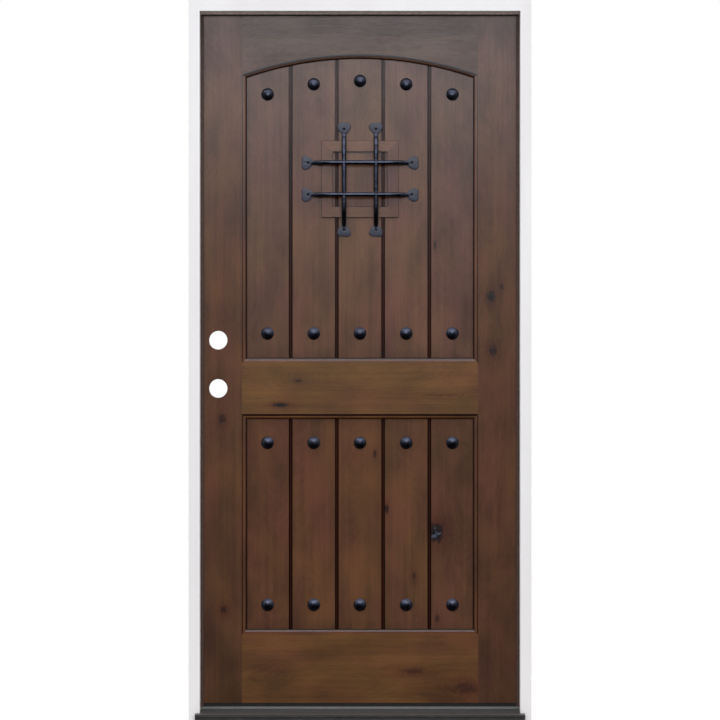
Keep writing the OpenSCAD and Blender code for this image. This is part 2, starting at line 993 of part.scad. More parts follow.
module hatch_hinge_moving_leaves() {
    color(STEEL)
    difference() {
        for (h = [-1, 1])
            hatch_hinge_leaf(hatch_z + h * hatch_hinge_at, -1, 1);
        hatch_leaf_screws(-1, 0.1);
    }
}

module hatch_hinge_pins() {
    color(STEEL)
    for (h = [-1, 1])
        translate([hatch_pin_x, hatch_pin_y, hatch_z + h * hatch_hinge_at - hatch_hinge_h / 2])
        cylinder(r = hatch_pin_r, h = hatch_hinge_h);
}

module hatch_screws_fixed() {
    color(STEEL)
    hatch_leaf_screws(1);
}

module hatch_screws_moving() {
    color(STEEL)
    hatch_leaf_screws(-1);
}

// ---- Grille --------------------------------------------------------------------------------

// An arc of a round bar in the plane y = 0: its middle is at [x, z], and it runs from angle a0 to a1.
module bend_arc(x, z, r, a0, a1, thick) {
    translate([x, 0, z])
    rotate([90, 0, 0])
    rotate([0, 0, a0])
    rotate_extrude(angle = a1 - a0)
    translate([r, 0])
    circle(r = thick);
}

// The bent end of a bar, drawn along +X with the planks at z = 0: a bend down from the straight
// length, a bend back and a hammered, fan-shaped end. The bar thins by a hair at each bend, where
// one length overlaps the next.
module bar_end() {
    thin = 0.05;
    lap = 0.6;
    bend_arc(straight_half, bar_stand - outer_bend, outer_bend, 90 - bend - lap, 90, bar_d / 2 - thin);
    difference() {
        bend_arc(
            straight_half + bend_run, end_stand + inner_bend, inner_bend,
            270 - bend, 270, bar_d / 2 - 2 * thin
        );
        translate([0, -50, -50 + lap])
        cube([bar_len, 100, 50]);
    }
    translate([bar_len / 2 - pad_l, 0, 0])
    fan();
}

// The fan-shaped end, from its neck at x = 0 out to x = pad_l: it widens evenly to two round lobes,
// with a shallow dip between them.
module fan() {
    lobe = 11;
    lobe_x = pad_l - lobe;
    linear_extrude(pad_t)
    difference() {
        union() {
            for (s = [-1, 1])
                translate([lobe_x, s * 8.5])
                circle(r = lobe);
            translate([pad_l - 15, 0])
            circle(r = 14);
            polygon([
                [-6, -bar_d / 2], [0, -bar_d / 2 - 0.5], [lobe_x - 6, -17.5], [lobe_x, -19.5],
                [lobe_x, 19.5], [lobe_x - 6, 17.5], [0, bar_d / 2 + 0.5], [-6, bar_d / 2],
            ]);
        }
        translate([pad_l - pad_hole_in, 0])
        circle(r = grille_screw_r + 0.1);
    }
}

// A bar along X, each end drawn in by short.
module bar(short = 0) {
    reach = straight_half - short + 0.5;
    translate([-reach, 0, bar_stand])
    rotate([0, 90, 0])
    cylinder(d = bar_d, h = 2 * reach);
    for (s = [0, 1])
        mirror([s, 0, 0])
        translate([-short, 0, 0])
        bar_end();
}

// Puts what is drawn on the planks' plane (x across, y up, z outwards) on the door.
module on_planks() {
    translate([0, plank_y0, grille_z])
    rotate([90, 0, 0])
    children();
}

// Four forged bars, welded into one where they cross. The uprights are a little shorter.
module grille() {
    color(IRON)
    on_planks()
    for (s = [-1, 1]) {
        translate([0, s * bar_pitch / 2, 0])
        bar();
        translate([s * bar_pitch / 2, -upright_low, 0])
        rotate([0, 0, 90])
        bar(upright_short);
    }
}

module grille_screw(grow = 0) {
    translate([0, 0, pad_t - grille_screw_l])
    cylinder(r = grille_screw_r + grow, h = grille_screw_l);
    intersection() {
        translate([0, 0, pad_t - 2.2])
        sphere(r = 5);
        translate([0, 0, pad_t])
        cylinder(r = 6, h = 6);
    }
}

module grille_screw_set(grow = 0) {
    reach = bar_len / 2 - pad_hole_in;
    on_planks()
    for (s = [-1, 1], t = [-1, 1]) {
        translate([t * reach, s * bar_pitch / 2, 0])
        grille_screw(grow);
        translate([s * bar_pitch / 2, t * (reach - upright_short) - upright_low, 0])
        grille_screw(grow);
    }
}

module grille_screws() {
    color(IRON)
    grille_screw_set();
}

// ---- Nodes ---------------------------------------------------------------------------------

jamb_hinge_side();
jamb_lock_side();
head_jamb();
weatherstrip_hinge_side();
weatherstrip_lock_side();
weatherstrip_head();
sill_substrate();
sill_deck();
sill_cap();
frame_screws();
stile_lock_side();
stile_hinge_side();
top_rail();
lock_rail();
bottom_rail();
rail_dowels();
upper_plank_1();
upper_plank_2();
upper_plank_3_above();
upper_plank_3_below();
upper_plank_4();
upper_plank_5();
lower_plank_1();
lower_plank_2();
lower_plank_3();
lower_plank_4();
lower_plank_5();
clavos();
trim_top();
trim_right();
trim_bottom();
trim_left();
grille();
grille_screws();
door_sweep();
hinge_bottom_frame_leaf();
hinge_middle_frame_leaf();
hinge_top_frame_leaf();
hinge_bottom_door_leaf();
hinge_middle_door_leaf();
hinge_top_door_leaf();
hinge_pins();
hinge_screws_frame();
hinge_screws_door();
hatch_board_left();
hatch_board_middle();
hatch_board_right();
hatch_knob();
hatch_magnet();
hatch_catch_plate();
hatch_hinge_fixed_leaves();
hatch_hinge_moving_leaves();
hatch_hinge_pins();
hatch_screws_fixed();
hatch_screws_moving();
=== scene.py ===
"""Looks of a planked alder entry door with an arched panel, iron clavos and a barred speakeasy.

Metres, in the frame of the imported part: +Z up, outside faces -Y, origin on the floor under the sill.
"""
import json
import math

import bmesh
import bpy
import numpy as np
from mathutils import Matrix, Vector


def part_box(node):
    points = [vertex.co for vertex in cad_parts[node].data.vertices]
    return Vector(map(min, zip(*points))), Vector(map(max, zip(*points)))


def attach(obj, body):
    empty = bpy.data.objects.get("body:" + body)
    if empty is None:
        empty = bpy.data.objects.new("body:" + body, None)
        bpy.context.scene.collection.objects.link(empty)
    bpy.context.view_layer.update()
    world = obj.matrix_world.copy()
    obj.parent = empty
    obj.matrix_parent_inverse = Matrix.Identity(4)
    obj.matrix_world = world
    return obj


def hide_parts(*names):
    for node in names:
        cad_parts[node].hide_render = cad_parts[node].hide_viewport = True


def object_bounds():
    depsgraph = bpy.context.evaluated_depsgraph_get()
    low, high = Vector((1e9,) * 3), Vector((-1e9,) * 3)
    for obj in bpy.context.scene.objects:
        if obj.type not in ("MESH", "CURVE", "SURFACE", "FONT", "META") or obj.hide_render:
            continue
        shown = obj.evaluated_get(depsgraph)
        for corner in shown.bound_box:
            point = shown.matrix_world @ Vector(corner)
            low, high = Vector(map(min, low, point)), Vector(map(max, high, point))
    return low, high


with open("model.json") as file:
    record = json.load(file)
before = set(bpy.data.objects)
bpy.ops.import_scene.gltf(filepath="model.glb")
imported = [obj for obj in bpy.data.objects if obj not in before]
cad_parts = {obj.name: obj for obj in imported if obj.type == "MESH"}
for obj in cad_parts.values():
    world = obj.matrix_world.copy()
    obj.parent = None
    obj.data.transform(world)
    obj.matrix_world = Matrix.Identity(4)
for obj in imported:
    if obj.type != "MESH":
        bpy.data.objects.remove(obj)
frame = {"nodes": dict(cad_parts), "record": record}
CAD_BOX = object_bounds()

MM = 0.001
PER_MM = 1000.0
BODY = {node: body for body, nodes in frame["record"]["behaviour"]["bodies"].items() for node in nodes}


def face_box(*nodes):
    """The box round several nodes, as two arrays."""
    boxes = [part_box(node) for node in nodes]
    return np.min([b[0] for b in boxes], axis=0), np.max([b[1] for b in boxes], axis=0)


SLAB_LOW, SLAB_HIGH = face_box("stile_lock_side", "stile_hinge_side")
PLANK_LOW, PLANK_HIGH = face_box("lower_plank_1", "lower_plank_5")
UNIT_H = face_box("jamb_lock_side", "jamb_hinge_side")[1][2]

SLAB_FRONT, SLAB_BACK = SLAB_LOW[1], SLAB_HIGH[1]
PLANK_FRONT, PLANK_BACK = PLANK_LOW[1], PLANK_HIGH[1]

# Where the flat faces of the stiles and rails end, the arch's centre and radius, and the planks' pitch
STICK = 13.7 * MM
ARRIS_X = STICK - face_box("stile_lock_side")[1][0]
LOCK_TOP = face_box("lock_rail")[1][2] - STICK
LOCK_LOW = face_box("lock_rail")[0][2] + STICK
BOTTOM_TOP = face_box("bottom_rail")[1][2] - STICK
ARCH_RISE = 59 * MM
CROWN_Z = SLAB_HIGH[2] - 129 * MM
ARCH_R = (ARRIS_X ** 2 + ARCH_RISE ** 2) / (2 * ARCH_RISE)
ARCH_Z = CROWN_Z - ARCH_R
PLANKS = 5
PLANK_PITCH = (2 * ARRIS_X - STICK) / PLANKS
RING_LOW, RING_HIGH = face_box("trim_left", "trim_right", "trim_top", "trim_bottom")
RING_X = float(RING_HIGH[0])
RING_Z = float(RING_LOW[2] + RING_HIGH[2]) / 2
HATCH_X = RING_X - 30 * MM


# ---- Camera, light and floor ---------------------------------------------------------------------

def make_camera(distance=12.0, seen=2.0808):
    """A long lens, square to the door at the middle of its height; seen is the height it takes in
    at the slab's face."""
    data = bpy.data.cameras.new("camera")
    data.sensor_width = 36.0
    data.lens = data.sensor_width * distance / seen
    data.clip_end = 100.0
    camera = bpy.data.objects.new("camera", data)
    camera.location = (0.0, SLAB_FRONT - distance, UNIT_H / 2)
    camera.rotation_euler = (math.radians(90), 0, 0)
    bpy.context.scene.collection.objects.link(camera)
    bpy.context.scene.camera = camera


def make_light(name, place, aim, size, radiance, tint=(1.0, 1.0, 1.0)):
    """A soft box of size (width, height) whose face shines with that radiance."""
    data = bpy.data.lights.new(name, "AREA")
    data.shape = "RECTANGLE"
    data.size, data.size_y = size
    data.energy = radiance * math.pi * size[0] * size[1]
    data.color = tint
    light = bpy.data.objects.new(name, data)
    light.location = place
    way = np.array(aim) - np.array(place)
    level = math.hypot(way[0], way[1])
    tilt = math.radians(90) + math.atan2(way[2], level)
    light.rotation_euler = (tilt, 0, math.atan2(-way[0], way[1]))
    light.visible_camera = False
    bpy.context.scene.collection.objects.link(light)


class Nodes:
    """Adds shader nodes to a tree. An input given as a socket is linked; anything else is its value."""

    def __init__(self, tree):
        self.tree = tree

    def add(self, kind, inputs=None, **settings):
        node = self.tree.nodes.new("ShaderNode" + kind)
        for key, value in settings.items():
            setattr(node, key, value)
        for key, value in (inputs or {}).items():
            if isinstance(value, bpy.types.NodeSocket):
                self.tree.links.new(value, node.inputs[key])
            else:
                node.inputs[key].default_value = value
        return node

    def math(self, operation, a, b=0.0, clamp=False):
        return self.add("Math", {0: a, 1: b}, operation=operation, use_clamp=clamp).outputs[0]

    def vector(self, operation, a, b=(0.0, 0.0, 0.0)):
        return self.add("VectorMath", {0: a, 1: b}, operation=operation).outputs[0]

    def mix(self, factor, a, b, blend="MIX"):
        node = self.add("Mix", {0: factor, 6: a, 7: b}, data_type="RGBA", blend_type=blend)
        return node.outputs[2]

    def tinted(self, factor, color, tint):
        """The colour, multiplied by tint as far as factor says."""
        return self.mix(factor, color, self.mix(1.0, color, tint, "MULTIPLY"))

    def gray(self, value):
        """A colour whose three parts are the value."""
        return self.join(value, value, value)

    def length(self, a, b):
        """The square root of a a + b b."""
        squares = self.math("ADD", self.math("MULTIPLY", a, a), self.math("MULTIPLY", b, b))
        return self.math("SQRT", squares)

    def ease(self, value, start, end, low=0.0, high=1.0):
        """low before start and high after end, eased between."""
        inputs = {"Value": value, "From Min": start, "From Max": end, "To Min": low, "To Max": high}
        return self.add("MapRange", inputs, interpolation_type="SMOOTHSTEP").outputs[0]

    def noise(self, place, detail=2.0, roughness=0.5, output=0):
        inputs = {"Vector": place, "Scale": 1.0, "Detail": detail, "Roughness": roughness}
        return self.add("TexNoise", inputs).outputs[output]

    def scaled(self, place, scale, offset=(0.0, 0.0, 0.0)):
        return self.add("Mapping", {"Vector": place, "Scale": scale, "Location": offset}).outputs[0]

    def split(self, place):
        return self.add("SeparateXYZ", {0: place}).outputs

    def join(self, x, y, z):
        return self.add("CombineXYZ", {0: x, 1: y, 2: z}).outputs[0]


def make_world(above=3.3, sides=0.85, below=0.005, backdrop=1.0):
    """A plain white backdrop, and soft studio light from high up and from the far sides; it is dark
    straight ahead of the door and below it."""
    world = bpy.data.worlds.new("studio")
    world.use_nodes = True
    world.node_tree.nodes.clear()
    n = Nodes(world.node_tree)
    x, y, z = n.split(n.add("TexCoord").outputs["Generated"])
    high = n.math("MULTIPLY", n.ease(z, 0.49, 0.67, 0.0, above), n.ease(z, 0.70, 0.95, 1.0, 0.5))
    far = n.ease(n.math("ABSOLUTE", x), 0.55, 0.90, 0.0, sides)
    side = n.math("MULTIPLY", far, n.ease(z, -0.15, 0.3))
    fill = n.math("ADD", n.math("ADD", high, side), below)
    seen = n.add("LightPath").outputs["Is Camera Ray"]
    strength = n.add("Mix", {0: seen, 2: fill, 3: backdrop}, data_type="FLOAT").outputs[0]
    shade = n.add("Background", {"Color": (1, 1, 1, 1), "Strength": strength})
    out = n.add("OutputWorld")
    n.tree.links.new(shade.outputs[0], out.inputs[0])
    bpy.context.scene.world = world


def make_floor(reach=1.5, drop=0.0005):
    """A pale floor just under the sill. It looks white, and throws back a little less than it shows."""
    z = CAD_BOX[0][2] - drop
    mesh = bpy.data.meshes.new("floor")
    corners = [(-reach, -reach, z), (reach, -reach, z), (reach, reach, z), (-reach, reach, z)]
    mesh.from_pydata(corners, [], [(0, 1, 2, 3)])
    floor = bpy.data.objects.new("floor", mesh)
    bpy.context.scene.collection.objects.link(floor)
    mat, n, skin = new_material("pale floor", roughness=0.9, specular=0.0)
    set_input(skin, "Base Color", (0.02, 0.02, 0.02, 1))
    set_input(skin, "Emission Color", (1, 1, 1, 1))
    seen = n.add("LightPath").outputs["Is Camera Ray"]
    set_input(skin, "Emission Strength", n.ease(seen, 0.0, 1.0, 0.62, 1.0))
    mesh.materials.append(mat)
    floor.visible_glossy = False


# ---- Materials: helpers --------------------------------------------------------------------------

def new_material(name, roughness=0.5, metallic=0.0, specular=0.5):
    """A material with its Principled BSDF; constants sit on the shader's own sockets."""
    mat = bpy.data.materials.new(name)
    mat.use_nodes = True
    mat.node_tree.nodes.clear()
    n = Nodes(mat.node_tree)
    skin = n.add("BsdfPrincipled", {
        "Roughness": roughness, "Metallic": metallic, "Specular IOR Level": specular,
    })
    out = n.add("OutputMaterial")
    n.tree.links.new(skin.outputs[0], out.inputs[0])
    return mat, n, skin


def set_input(node, key, value):
    """Links or sets one input of a node."""
    if isinstance(value, bpy.types.NodeSocket):
        node.id_data.links.new(value, node.inputs[key])
    else:
        node.inputs[key].default_value = value


def set_bump(n, skin, height, strength, distance):
    """Bumps a finish by a height of 0 to 1, which stands for the distance."""
    bump = n.add("Bump", {"Strength": strength, "Distance": distance, "Height": height})
    set_input(skin, "Normal", bump.outputs[0])


def new_group(name, inputs, outputs):
    """A shader node group. inputs and outputs are (name, kind) with kind Float, Vector or Color."""
    tree = bpy.data.node_groups.new(name, "ShaderNodeTree")
    for label, kind in inputs:
        tree.interface.new_socket(name=label, in_out="INPUT", socket_type="NodeSocket" + kind)
    for label, kind in outputs:
        tree.interface.new_socket(name=label, in_out="OUTPUT", socket_type="NodeSocket" + kind)
    entry = tree.nodes.new("NodeGroupInput")
    leave = tree.nodes.new("NodeGroupOutput")
    return tree, Nodes(tree), entry.outputs, leave


def use_group(n, tree, inputs):
    """Places a group in a tree and gives its outputs."""
    node = n.add("Group", node_tree=tree)
    for key, value in inputs.items():
        set_input(node, key, value)
    return node.outputs


# ---- Materials: shared effects -------------------------------------------------------------------

RINGS_PER_METRE = 190.0


def make_alder_group():
    """Stained knotty alder. Growth rings are the distance from a pith that wanders behind the board,
    so they cross the face as long loops; over them lie fine fibres, short pores, and the soft
    patches where the wood took more or less stain."""
    tree, n, given, leave = new_group(
        "alder",
        [("Place", "Vector"), ("Seed", "Float"), ("Heart", "Float"), ("Pale", "Color"),
         ("Dark", "Color"), ("Figure", "Float")],
        [("Color", "Color"), ("Roughness", "Float"), ("Height", "Float")],
    )
    seed = n.join(n.math("MULTIPLY", given["Seed"], 1.7), 0.0, n.math("MULTIPLY", given["Seed"], 3.1))
    place = n.vector("ADD", given["Place"], seed)
    x, y, z = n.split(given["Place"])

    slow = n.noise(n.scaled(place, (1.5, 1.5, 1.3)), 1.0)
    bend = n.noise(n.scaled(place, (9.0, 9.0, 2.2), (4.0, 1.0, 0.0)), 2.0)
    pith_x = n.math("ADD", given["Heart"], n.math("MULTIPLY", n.math("SUBTRACT", slow, 0.5), 0.22))
    across = n.math("SUBTRACT", x, pith_x)
    across = n.math("ADD", across, n.math("MULTIPLY", n.math("SUBTRACT", bend, 0.5), 0.035))
    rise = n.noise(n.scaled(place, (0.4, 0.4, 1.9), (0.0, 7.0, 2.0)), 1.0)
    depth = n.math("ADD", n.math("MULTIPLY", rise, 0.16), 0.01)
    away = n.length(across, depth)
    ragged = n.noise(n.scaled(place, (55.0, 55.0, 5.0)), 3.0, 0.6)
    rings = n.math("MULTIPLY", away, RINGS_PER_METRE)
    rings = n.math("ADD", rings, n.math("MULTIPLY", ragged, 1.1))
    ring = n.math("POWER", n.math("FRACT", rings), 1.6)

    fibre = n.noise(n.scaled(place, (420.0, 420.0, 7.0)), 3.0, 0.65)
    streak = n.noise(n.scaled(place, (85.0, 85.0, 1.6), (0.0, 0.0, 5.0)), 2.0, 0.55)
    patch = n.noise(n.scaled(place, (14.0, 14.0, 6.5), (2.0, 0.0, 0.0)), 3.0, 0.5)
    pore = n.ease(n.noise(n.scaled(place, (1300.0, 1300.0, 60.0)), 1.0), 0.60, 0.70)

    tone = n.math("MULTIPLY", n.math("SUBTRACT", ring, 0.4), 0.20)
    tone = n.math("ADD", tone, n.math("MULTIPLY", n.math("SUBTRACT", fibre, 0.5), 0.7))
    tone = n.math("ADD", tone, n.math("MULTIPLY", n.math("SUBTRACT", streak, 0.5), 0.9))
    tone = n.math("ADD", tone, n.math("MULTIPLY", n.math("SUBTRACT", patch, 0.5), 2.3))
    tone = n.math("ADD", n.math("MULTIPLY", tone, given["Figure"]), 0.5, clamp=True)
    color = n.mix(tone, given["Pale"], given["Dark"])

    warm = n.noise(n.scaled(place, (11.0, 11.0, 5.0), (0.0, 3.0, 9.0)), 2.0, 0.55)
    reddish = n.mix(1.0, color, (1.03, 0.93, 0.99, 1), "MULTIPLY")
    golden = n.mix(1.0, color, (1.03, 1.05, 0.88, 1), "MULTIPLY")
    color = n.mix(n.ease(warm, 0.37, 0.68), golden, reddish)
    color = n.tinted(n.math("MULTIPLY", pore, 0.45), color, (0.4, 0.36, 0.34, 1))

    rough = n.math("ADD", n.math("MULTIPLY", n.math("SUBTRACT", fibre, 0.5), 0.12), 0.36)
    rough = n.math("ADD", rough, n.math("MULTIPLY", n.math("SUBTRACT", patch, 0.5), 0.08))
    height = n.math("SUBTRACT", n.math("MULTIPLY", fibre, 0.5), n.math("MULTIPLY", pore, 0.6))
    height = n.math("ADD", height, n.math("MULTIPLY", ring, 0.12))
    for key, value in (("Color", color), ("Roughness", rough), ("Height", height)):
        set_input(leave, key, value)
    return tree


KNOT_FINENESS = 1.3    # how many waves of the noise that ruffles a knot fit in its radius
KNOT_RUFFLE = 2.4      # how far the noise ruffles it, in radii
GRAIN_PULL = -0.85     # how far the grain parts round it


def make_knot_group():
    """A knot: the grain flows round it, its core is dark with flecks in it, and a bark-dark rim and a
    ragged stained halo lie round it. Distances are measured in knot radii, longer along the grain,
    and wander with a noise as fine as the knot is small."""
    tree, n, given, leave = new_group(
        "knot",
        [("Place", "Vector"), ("Centre", "Vector"), ("Radius", "Float"), ("Stretch", "Float")],
        [("Place", "Vector"), ("Core", "Float"), ("Rim", "Float"), ("Halo", "Float"),
         ("Fleck", "Float")],
    )
    x, y, z = n.split(given["Place"])
    cx, cy, cz = n.split(given["Centre"])
    fine = n.math("DIVIDE", KNOT_FINENESS, given["Radius"])
    wander = n.noise(n.vector("MULTIPLY", given["Place"], n.gray(fine)), 3.0, 0.6, "Color")
    wx, wy, wz = n.split(wander)
    tall = n.math("MULTIPLY", given["Radius"], given["Stretch"])
    dx = n.math("DIVIDE", n.math("SUBTRACT", x, cx), given["Radius"])
    dz = n.math("DIVIDE", n.math("SUBTRACT", z, cz), tall)
    dx = n.math("ADD", dx, n.math("MULTIPLY", n.math("SUBTRACT", wx, 0.5), KNOT_RUFFLE))
    dz = n.math("ADD", dz, n.math("MULTIPLY", n.math("SUBTRACT", wz, 0.5), KNOT_RUFFLE))
    away = n.length(dx, dz)
    near = n.math("EXPONENT", n.math("MULTIPLY", n.math("MULTIPLY", away, away), -0.13))
    pull = n.math("MULTIPLY", n.math("MULTIPLY", n.math("SUBTRACT", x, cx), near), GRAIN_PULL)
    bent = n.vector("ADD", given["Place"], n.join(pull, 0.0, 0.0))
    rim = n.math("MULTIPLY", n.ease(away, 0.70, 0.95), n.ease(away, 1.6, 1.1))
    set_input(leave, "Place", bent)
    set_input(leave, "Fleck", n.ease(wy, 0.50, 0.58))
    set_input(leave, "Core", n.ease(away, 1.05, 0.70))
    set_input(leave, "Rim", rim)
    set_input(leave, "Halo", n.math("MULTIPLY", near, n.ease(wy, 0.25, 0.6, 0.45, 1.0)))
    return tree


def make_depth_group():
    """How deep a point lies below the nearer face of a board, from 0 at Start to 1 at Full."""
    tree, n, given, leave = new_group(
        "depth below face",
        [("Place", "Vector"), ("Front", "Float"), ("Back", "Float"), ("Start", "Float"),
         ("Full", "Float")],
        [("Mask", "Float")],
    )
    y = n.split(given["Place"])[1]
    front = n.math("SUBTRACT", y, given["Front"])
    back = n.math("SUBTRACT", given["Back"], y)
    depth = n.math("MINIMUM", front, back)
    set_input(leave, "Mask", n.ease(depth, given["Start"], given["Full"]))
    return tree


# Bands of dark stain and painted shade across a moulding, in mm in from where the flat faces end: a
# band begins at the first and is full at the second, is still full at the third and has ended at the
# fourth
STEP_BAND = (-0.5, 0.1, 1.5, 2.9)
JOINT_BAND = (9.4, 10.9, 14.2, 15.3)
STEP_THICKER = 3.6      # how much further the step's band goes where the moulding looks down: painted shadow under the overhang
JOINT_THINNER = 2.2     # how much sooner the joint's band ends there, under that painted shadow
JOINT_WIDER = 1.0       # how much sooner the joint's band begins where the moulding looks up and is painted lit
BROWN_BAND = (3.0, 4.2, 14.2, 15.3)
BROWN = 0.2             # how dark the thin rust band is on a moulding that looks up, painted lit in place of the step's band
UNEVEN = 0.9            # how far the bands' edges wander, in mm
EDGE_SHADE = (8.0, 60.0)      # where the painted shade at a panel's edges is thickest and where it ends, in mm
EDGE_SHADE_UNEVEN = 60.0      # how far its edge wanders, in mm
EDGE_SHADE_KEPT = 0.80           # how much of its colour the wood keeps in it


def make_quirk_group():
    """Dark stain and painted shade in the mouldings, and painted shade at the panels' edges. Width is
    the distance in mm inwards from where the flat faces end: the least of those to the stiles, to the
    rails and to the arch, uneven by half a millimetre.
    A band of dark stain and painted shade lies in the step at the start of the moulding: thicker where
    the moulding looks down, as painted shadow under the overhang, and left out where it looks up, as
    painted light, with a thin rust band there instead; another lies where the moulding meets the
    boards. The second output is how much of their colour the boards keep under the painted shade near
    the panel's edges."""
    tree, n, given, leave = new_group(
        "stain and painted shade in mouldings",
        [("Place", "Vector"), ("Step", "Float"), ("Joint", "Float")],
        [("Mask", "Float"), ("Unshaded", "Float")],
    )
    x, y, z = n.split(given["Place"])
    spoke = n.length(x, n.math("SUBTRACT", z, float(ARCH_Z)))
    side = n.math("SUBTRACT", float(ARRIS_X), n.math("ABSOLUTE", x))
    arch = n.math("SUBTRACT", float(ARCH_R), spoke)
    lock_top = n.math("SUBTRACT", z, float(LOCK_TOP))
    lock_low = n.math("SUBTRACT", float(LOCK_LOW), z)
    bottom = n.math("SUBTRACT", z, float(BOTTOM_TOP))
    upper = n.math("MINIMUM", lock_top, arch)
    lower = n.math("MINIMUM", lock_low, bottom)
    width = n.math("MINIMUM", n.math("MAXIMUM", upper, lower), side)
    width = n.math("MULTIPLY", width, PER_MM)

    def nearest(edge, other):
        """1 where the nearer of two edges is the nearest of all, eased off over half a millimetre."""
        away = n.math("MULTIPLY", n.math("MINIMUM", edge, other), PER_MM)
        return n.ease(n.math("SUBTRACT", away, width), 0.6, 0.1)

    # Which way the moulding looks: painted shadow goes where it looks down, painted light where it
    # looks up
    looks_down = nearest(arch, n.math("ABSOLUTE", lock_low))
    looks_up = nearest(n.math("ABSOLUTE", lock_top), n.math("ABSOLUTE", bottom))

    uneven = n.math("SUBTRACT", n.noise(n.scaled(given["Place"], (30.0, 30.0, 30.0)), 2.0), 0.5)
    width = n.math("ADD", width, n.math("MULTIPLY", uneven, UNEVEN))
    thick = n.math("ADD", width, n.math("MULTIPLY", looks_down, -STEP_THICKER))
    thin = n.math("ADD", width, n.math("MULTIPLY", looks_down, JOINT_THINNER))
    wide = n.math("ADD", width, n.math("MULTIPLY", looks_up, JOINT_WIDER))

    step = n.math("MULTIPLY", n.ease(width, *STEP_BAND[:2]), n.ease(thick, *STEP_BAND[:1:-1]))
    step = n.math("MULTIPLY", step, n.math("SUBTRACT", 1.0, looks_up))
    joint = n.math("MULTIPLY", n.ease(wide, *JOINT_BAND[:2]), n.ease(thin, *JOINT_BAND[:1:-1]))
    brown = n.math("MULTIPLY", n.ease(width, *BROWN_BAND[:2], 0.0, BROWN),
                   n.ease(width, *BROWN_BAND[:1:-1]))
    joint = n.math("MAXIMUM", joint, n.math("MULTIPLY", looks_up, brown))
    step = n.math("MULTIPLY", step, given["Step"])
    joint = n.math("MULTIPLY", joint, given["Joint"])
    set_input(leave, "Mask", n.math("MAXIMUM", step, joint))

    # Painted shade at the panels' edges, darkest close to them
    edge_shade = n.math("ADD", width, n.math("MULTIPLY", uneven, EDGE_SHADE_UNEVEN))
    set_input(leave, "Unshaded", n.ease(edge_shade, *EDGE_SHADE, EDGE_SHADE_KEPT, 1.0))
    return tree


def make_hammered_group():
    """Hammered and powder-coated iron: shallow overlapping dents, a fine orange peel and dull spots."""
    tree, n, given, leave = new_group(
        "hammered iron",
        [("Place", "Vector"), ("Dents", "Float"), ("Base", "Color")],
        [("Color", "Color"), ("Roughness", "Float"), ("Height", "Float")],
    )
    place = n.vector("MULTIPLY", given["Place"], n.gray(given["Dents"]))
    dents = n.add("TexVoronoi", {"Vector": place, "Scale": 1.0}, feature="SMOOTH_F1")
    peel = n.noise(n.scaled(given["Place"], (1500.0,) * 3), 2.0)
    dull = n.noise(n.scaled(given["Place"], (60.0,) * 3), 3.0, 0.6)
    worn = n.mix(1.0, given["Base"], (1.5, 1.5, 1.6, 1), "MULTIPLY")
    set_input(leave, "Color", n.mix(n.ease(dull, 0.35, 0.7), given["Base"], worn))
    set_input(leave, "Roughness", n.ease(dull, 0.3, 0.7, 0.27, 0.34))
    height = n.math("ADD", dents.outputs["Distance"], n.math("MULTIPLY", peel, 0.12))
    set_input(leave, "Height", height)
    return tree


ALDER = make_alder_group()
KNOT = make_knot_group()
DEPTH = make_depth_group()
QUIRK = make_quirk_group()
HAMMERED = make_hammered_group()


# ---- Materials: finishes -------------------------------------------------------------------------

BLACK_KNOT = (0.006, 0.004, 0.004, 1)
RED_KNOT = (0.046, 0.013, 0.010, 1)
FILLED_KNOT = (0.055, 0.065, 0.100, 1)
KNOT_SIZE = 1.15                    # a knot's radius over the one it is given with
KNOT_HALO = 0.9                     # how far its halo takes the stain
KNOT_SINK = 1.5                     # how far its rim sinks
BLACK_BARK, RED_BARK = 0.85, 0.3    # how dark the rims of black and of red knots are
PALE_WOOD, DARK_WOOD = 1.34, 0.70   # the palest and darkest wood over the mean colour

RUST_GLAZE_AND_SHADE = (0.66, 0.36, 0.22, 1)      # what a thin layer of dark stain and painted shade leaves of the colour
BLACK_GLAZE_AND_SHADE = (0.11, 0.034, 0.014, 1)   # and a thick one
KNOT_STAIN = (0.60, 0.34, 0.40, 1)      # and the halo of a knot


def ring_shade_line(n, place, dark):
    """Painted shade in a line 3 mm wide along the outside of the speakeasy's raised ring, on the planks
    round it: the distance out from a square, which is the greater of |x| and |z| less half its side."""
    x, y, z = n.split(place)
    z = n.math("ABSOLUTE", n.math("SUBTRACT", z, RING_Z))
    out = n.math("SUBTRACT", n.math("MAXIMUM", n.math("ABSOLUTE", x), z), RING_X)
    return n.ease(out, 3.0 * MM, 0.2 * MM, 0.0, dark)


def hatch_shadow_line(n, place, dark):
    """Painted shadow along the edges of the speakeasy's own door, inside the same kind of square: wider
    under the ring's top, where the ring overhangs it, than at the sides and the foot."""
    x, y, z = n.split(place)
    x = n.math("SUBTRACT", n.math("ABSOLUTE", x), HATCH_X)
    z = n.math("SUBTRACT", z, RING_Z)
    top = n.ease(n.math("SUBTRACT", z, HATCH_X), -5.2 * MM, -3.6 * MM, 0.0, dark)
    rest = n.math("MAXIMUM", x, n.math("SUBTRACT", n.math("ABSOLUTE", z), HATCH_X))
    return n.math("MAXIMUM", top, n.ease(rest, -2.6 * MM, -0.8 * MM, 0.0, dark))


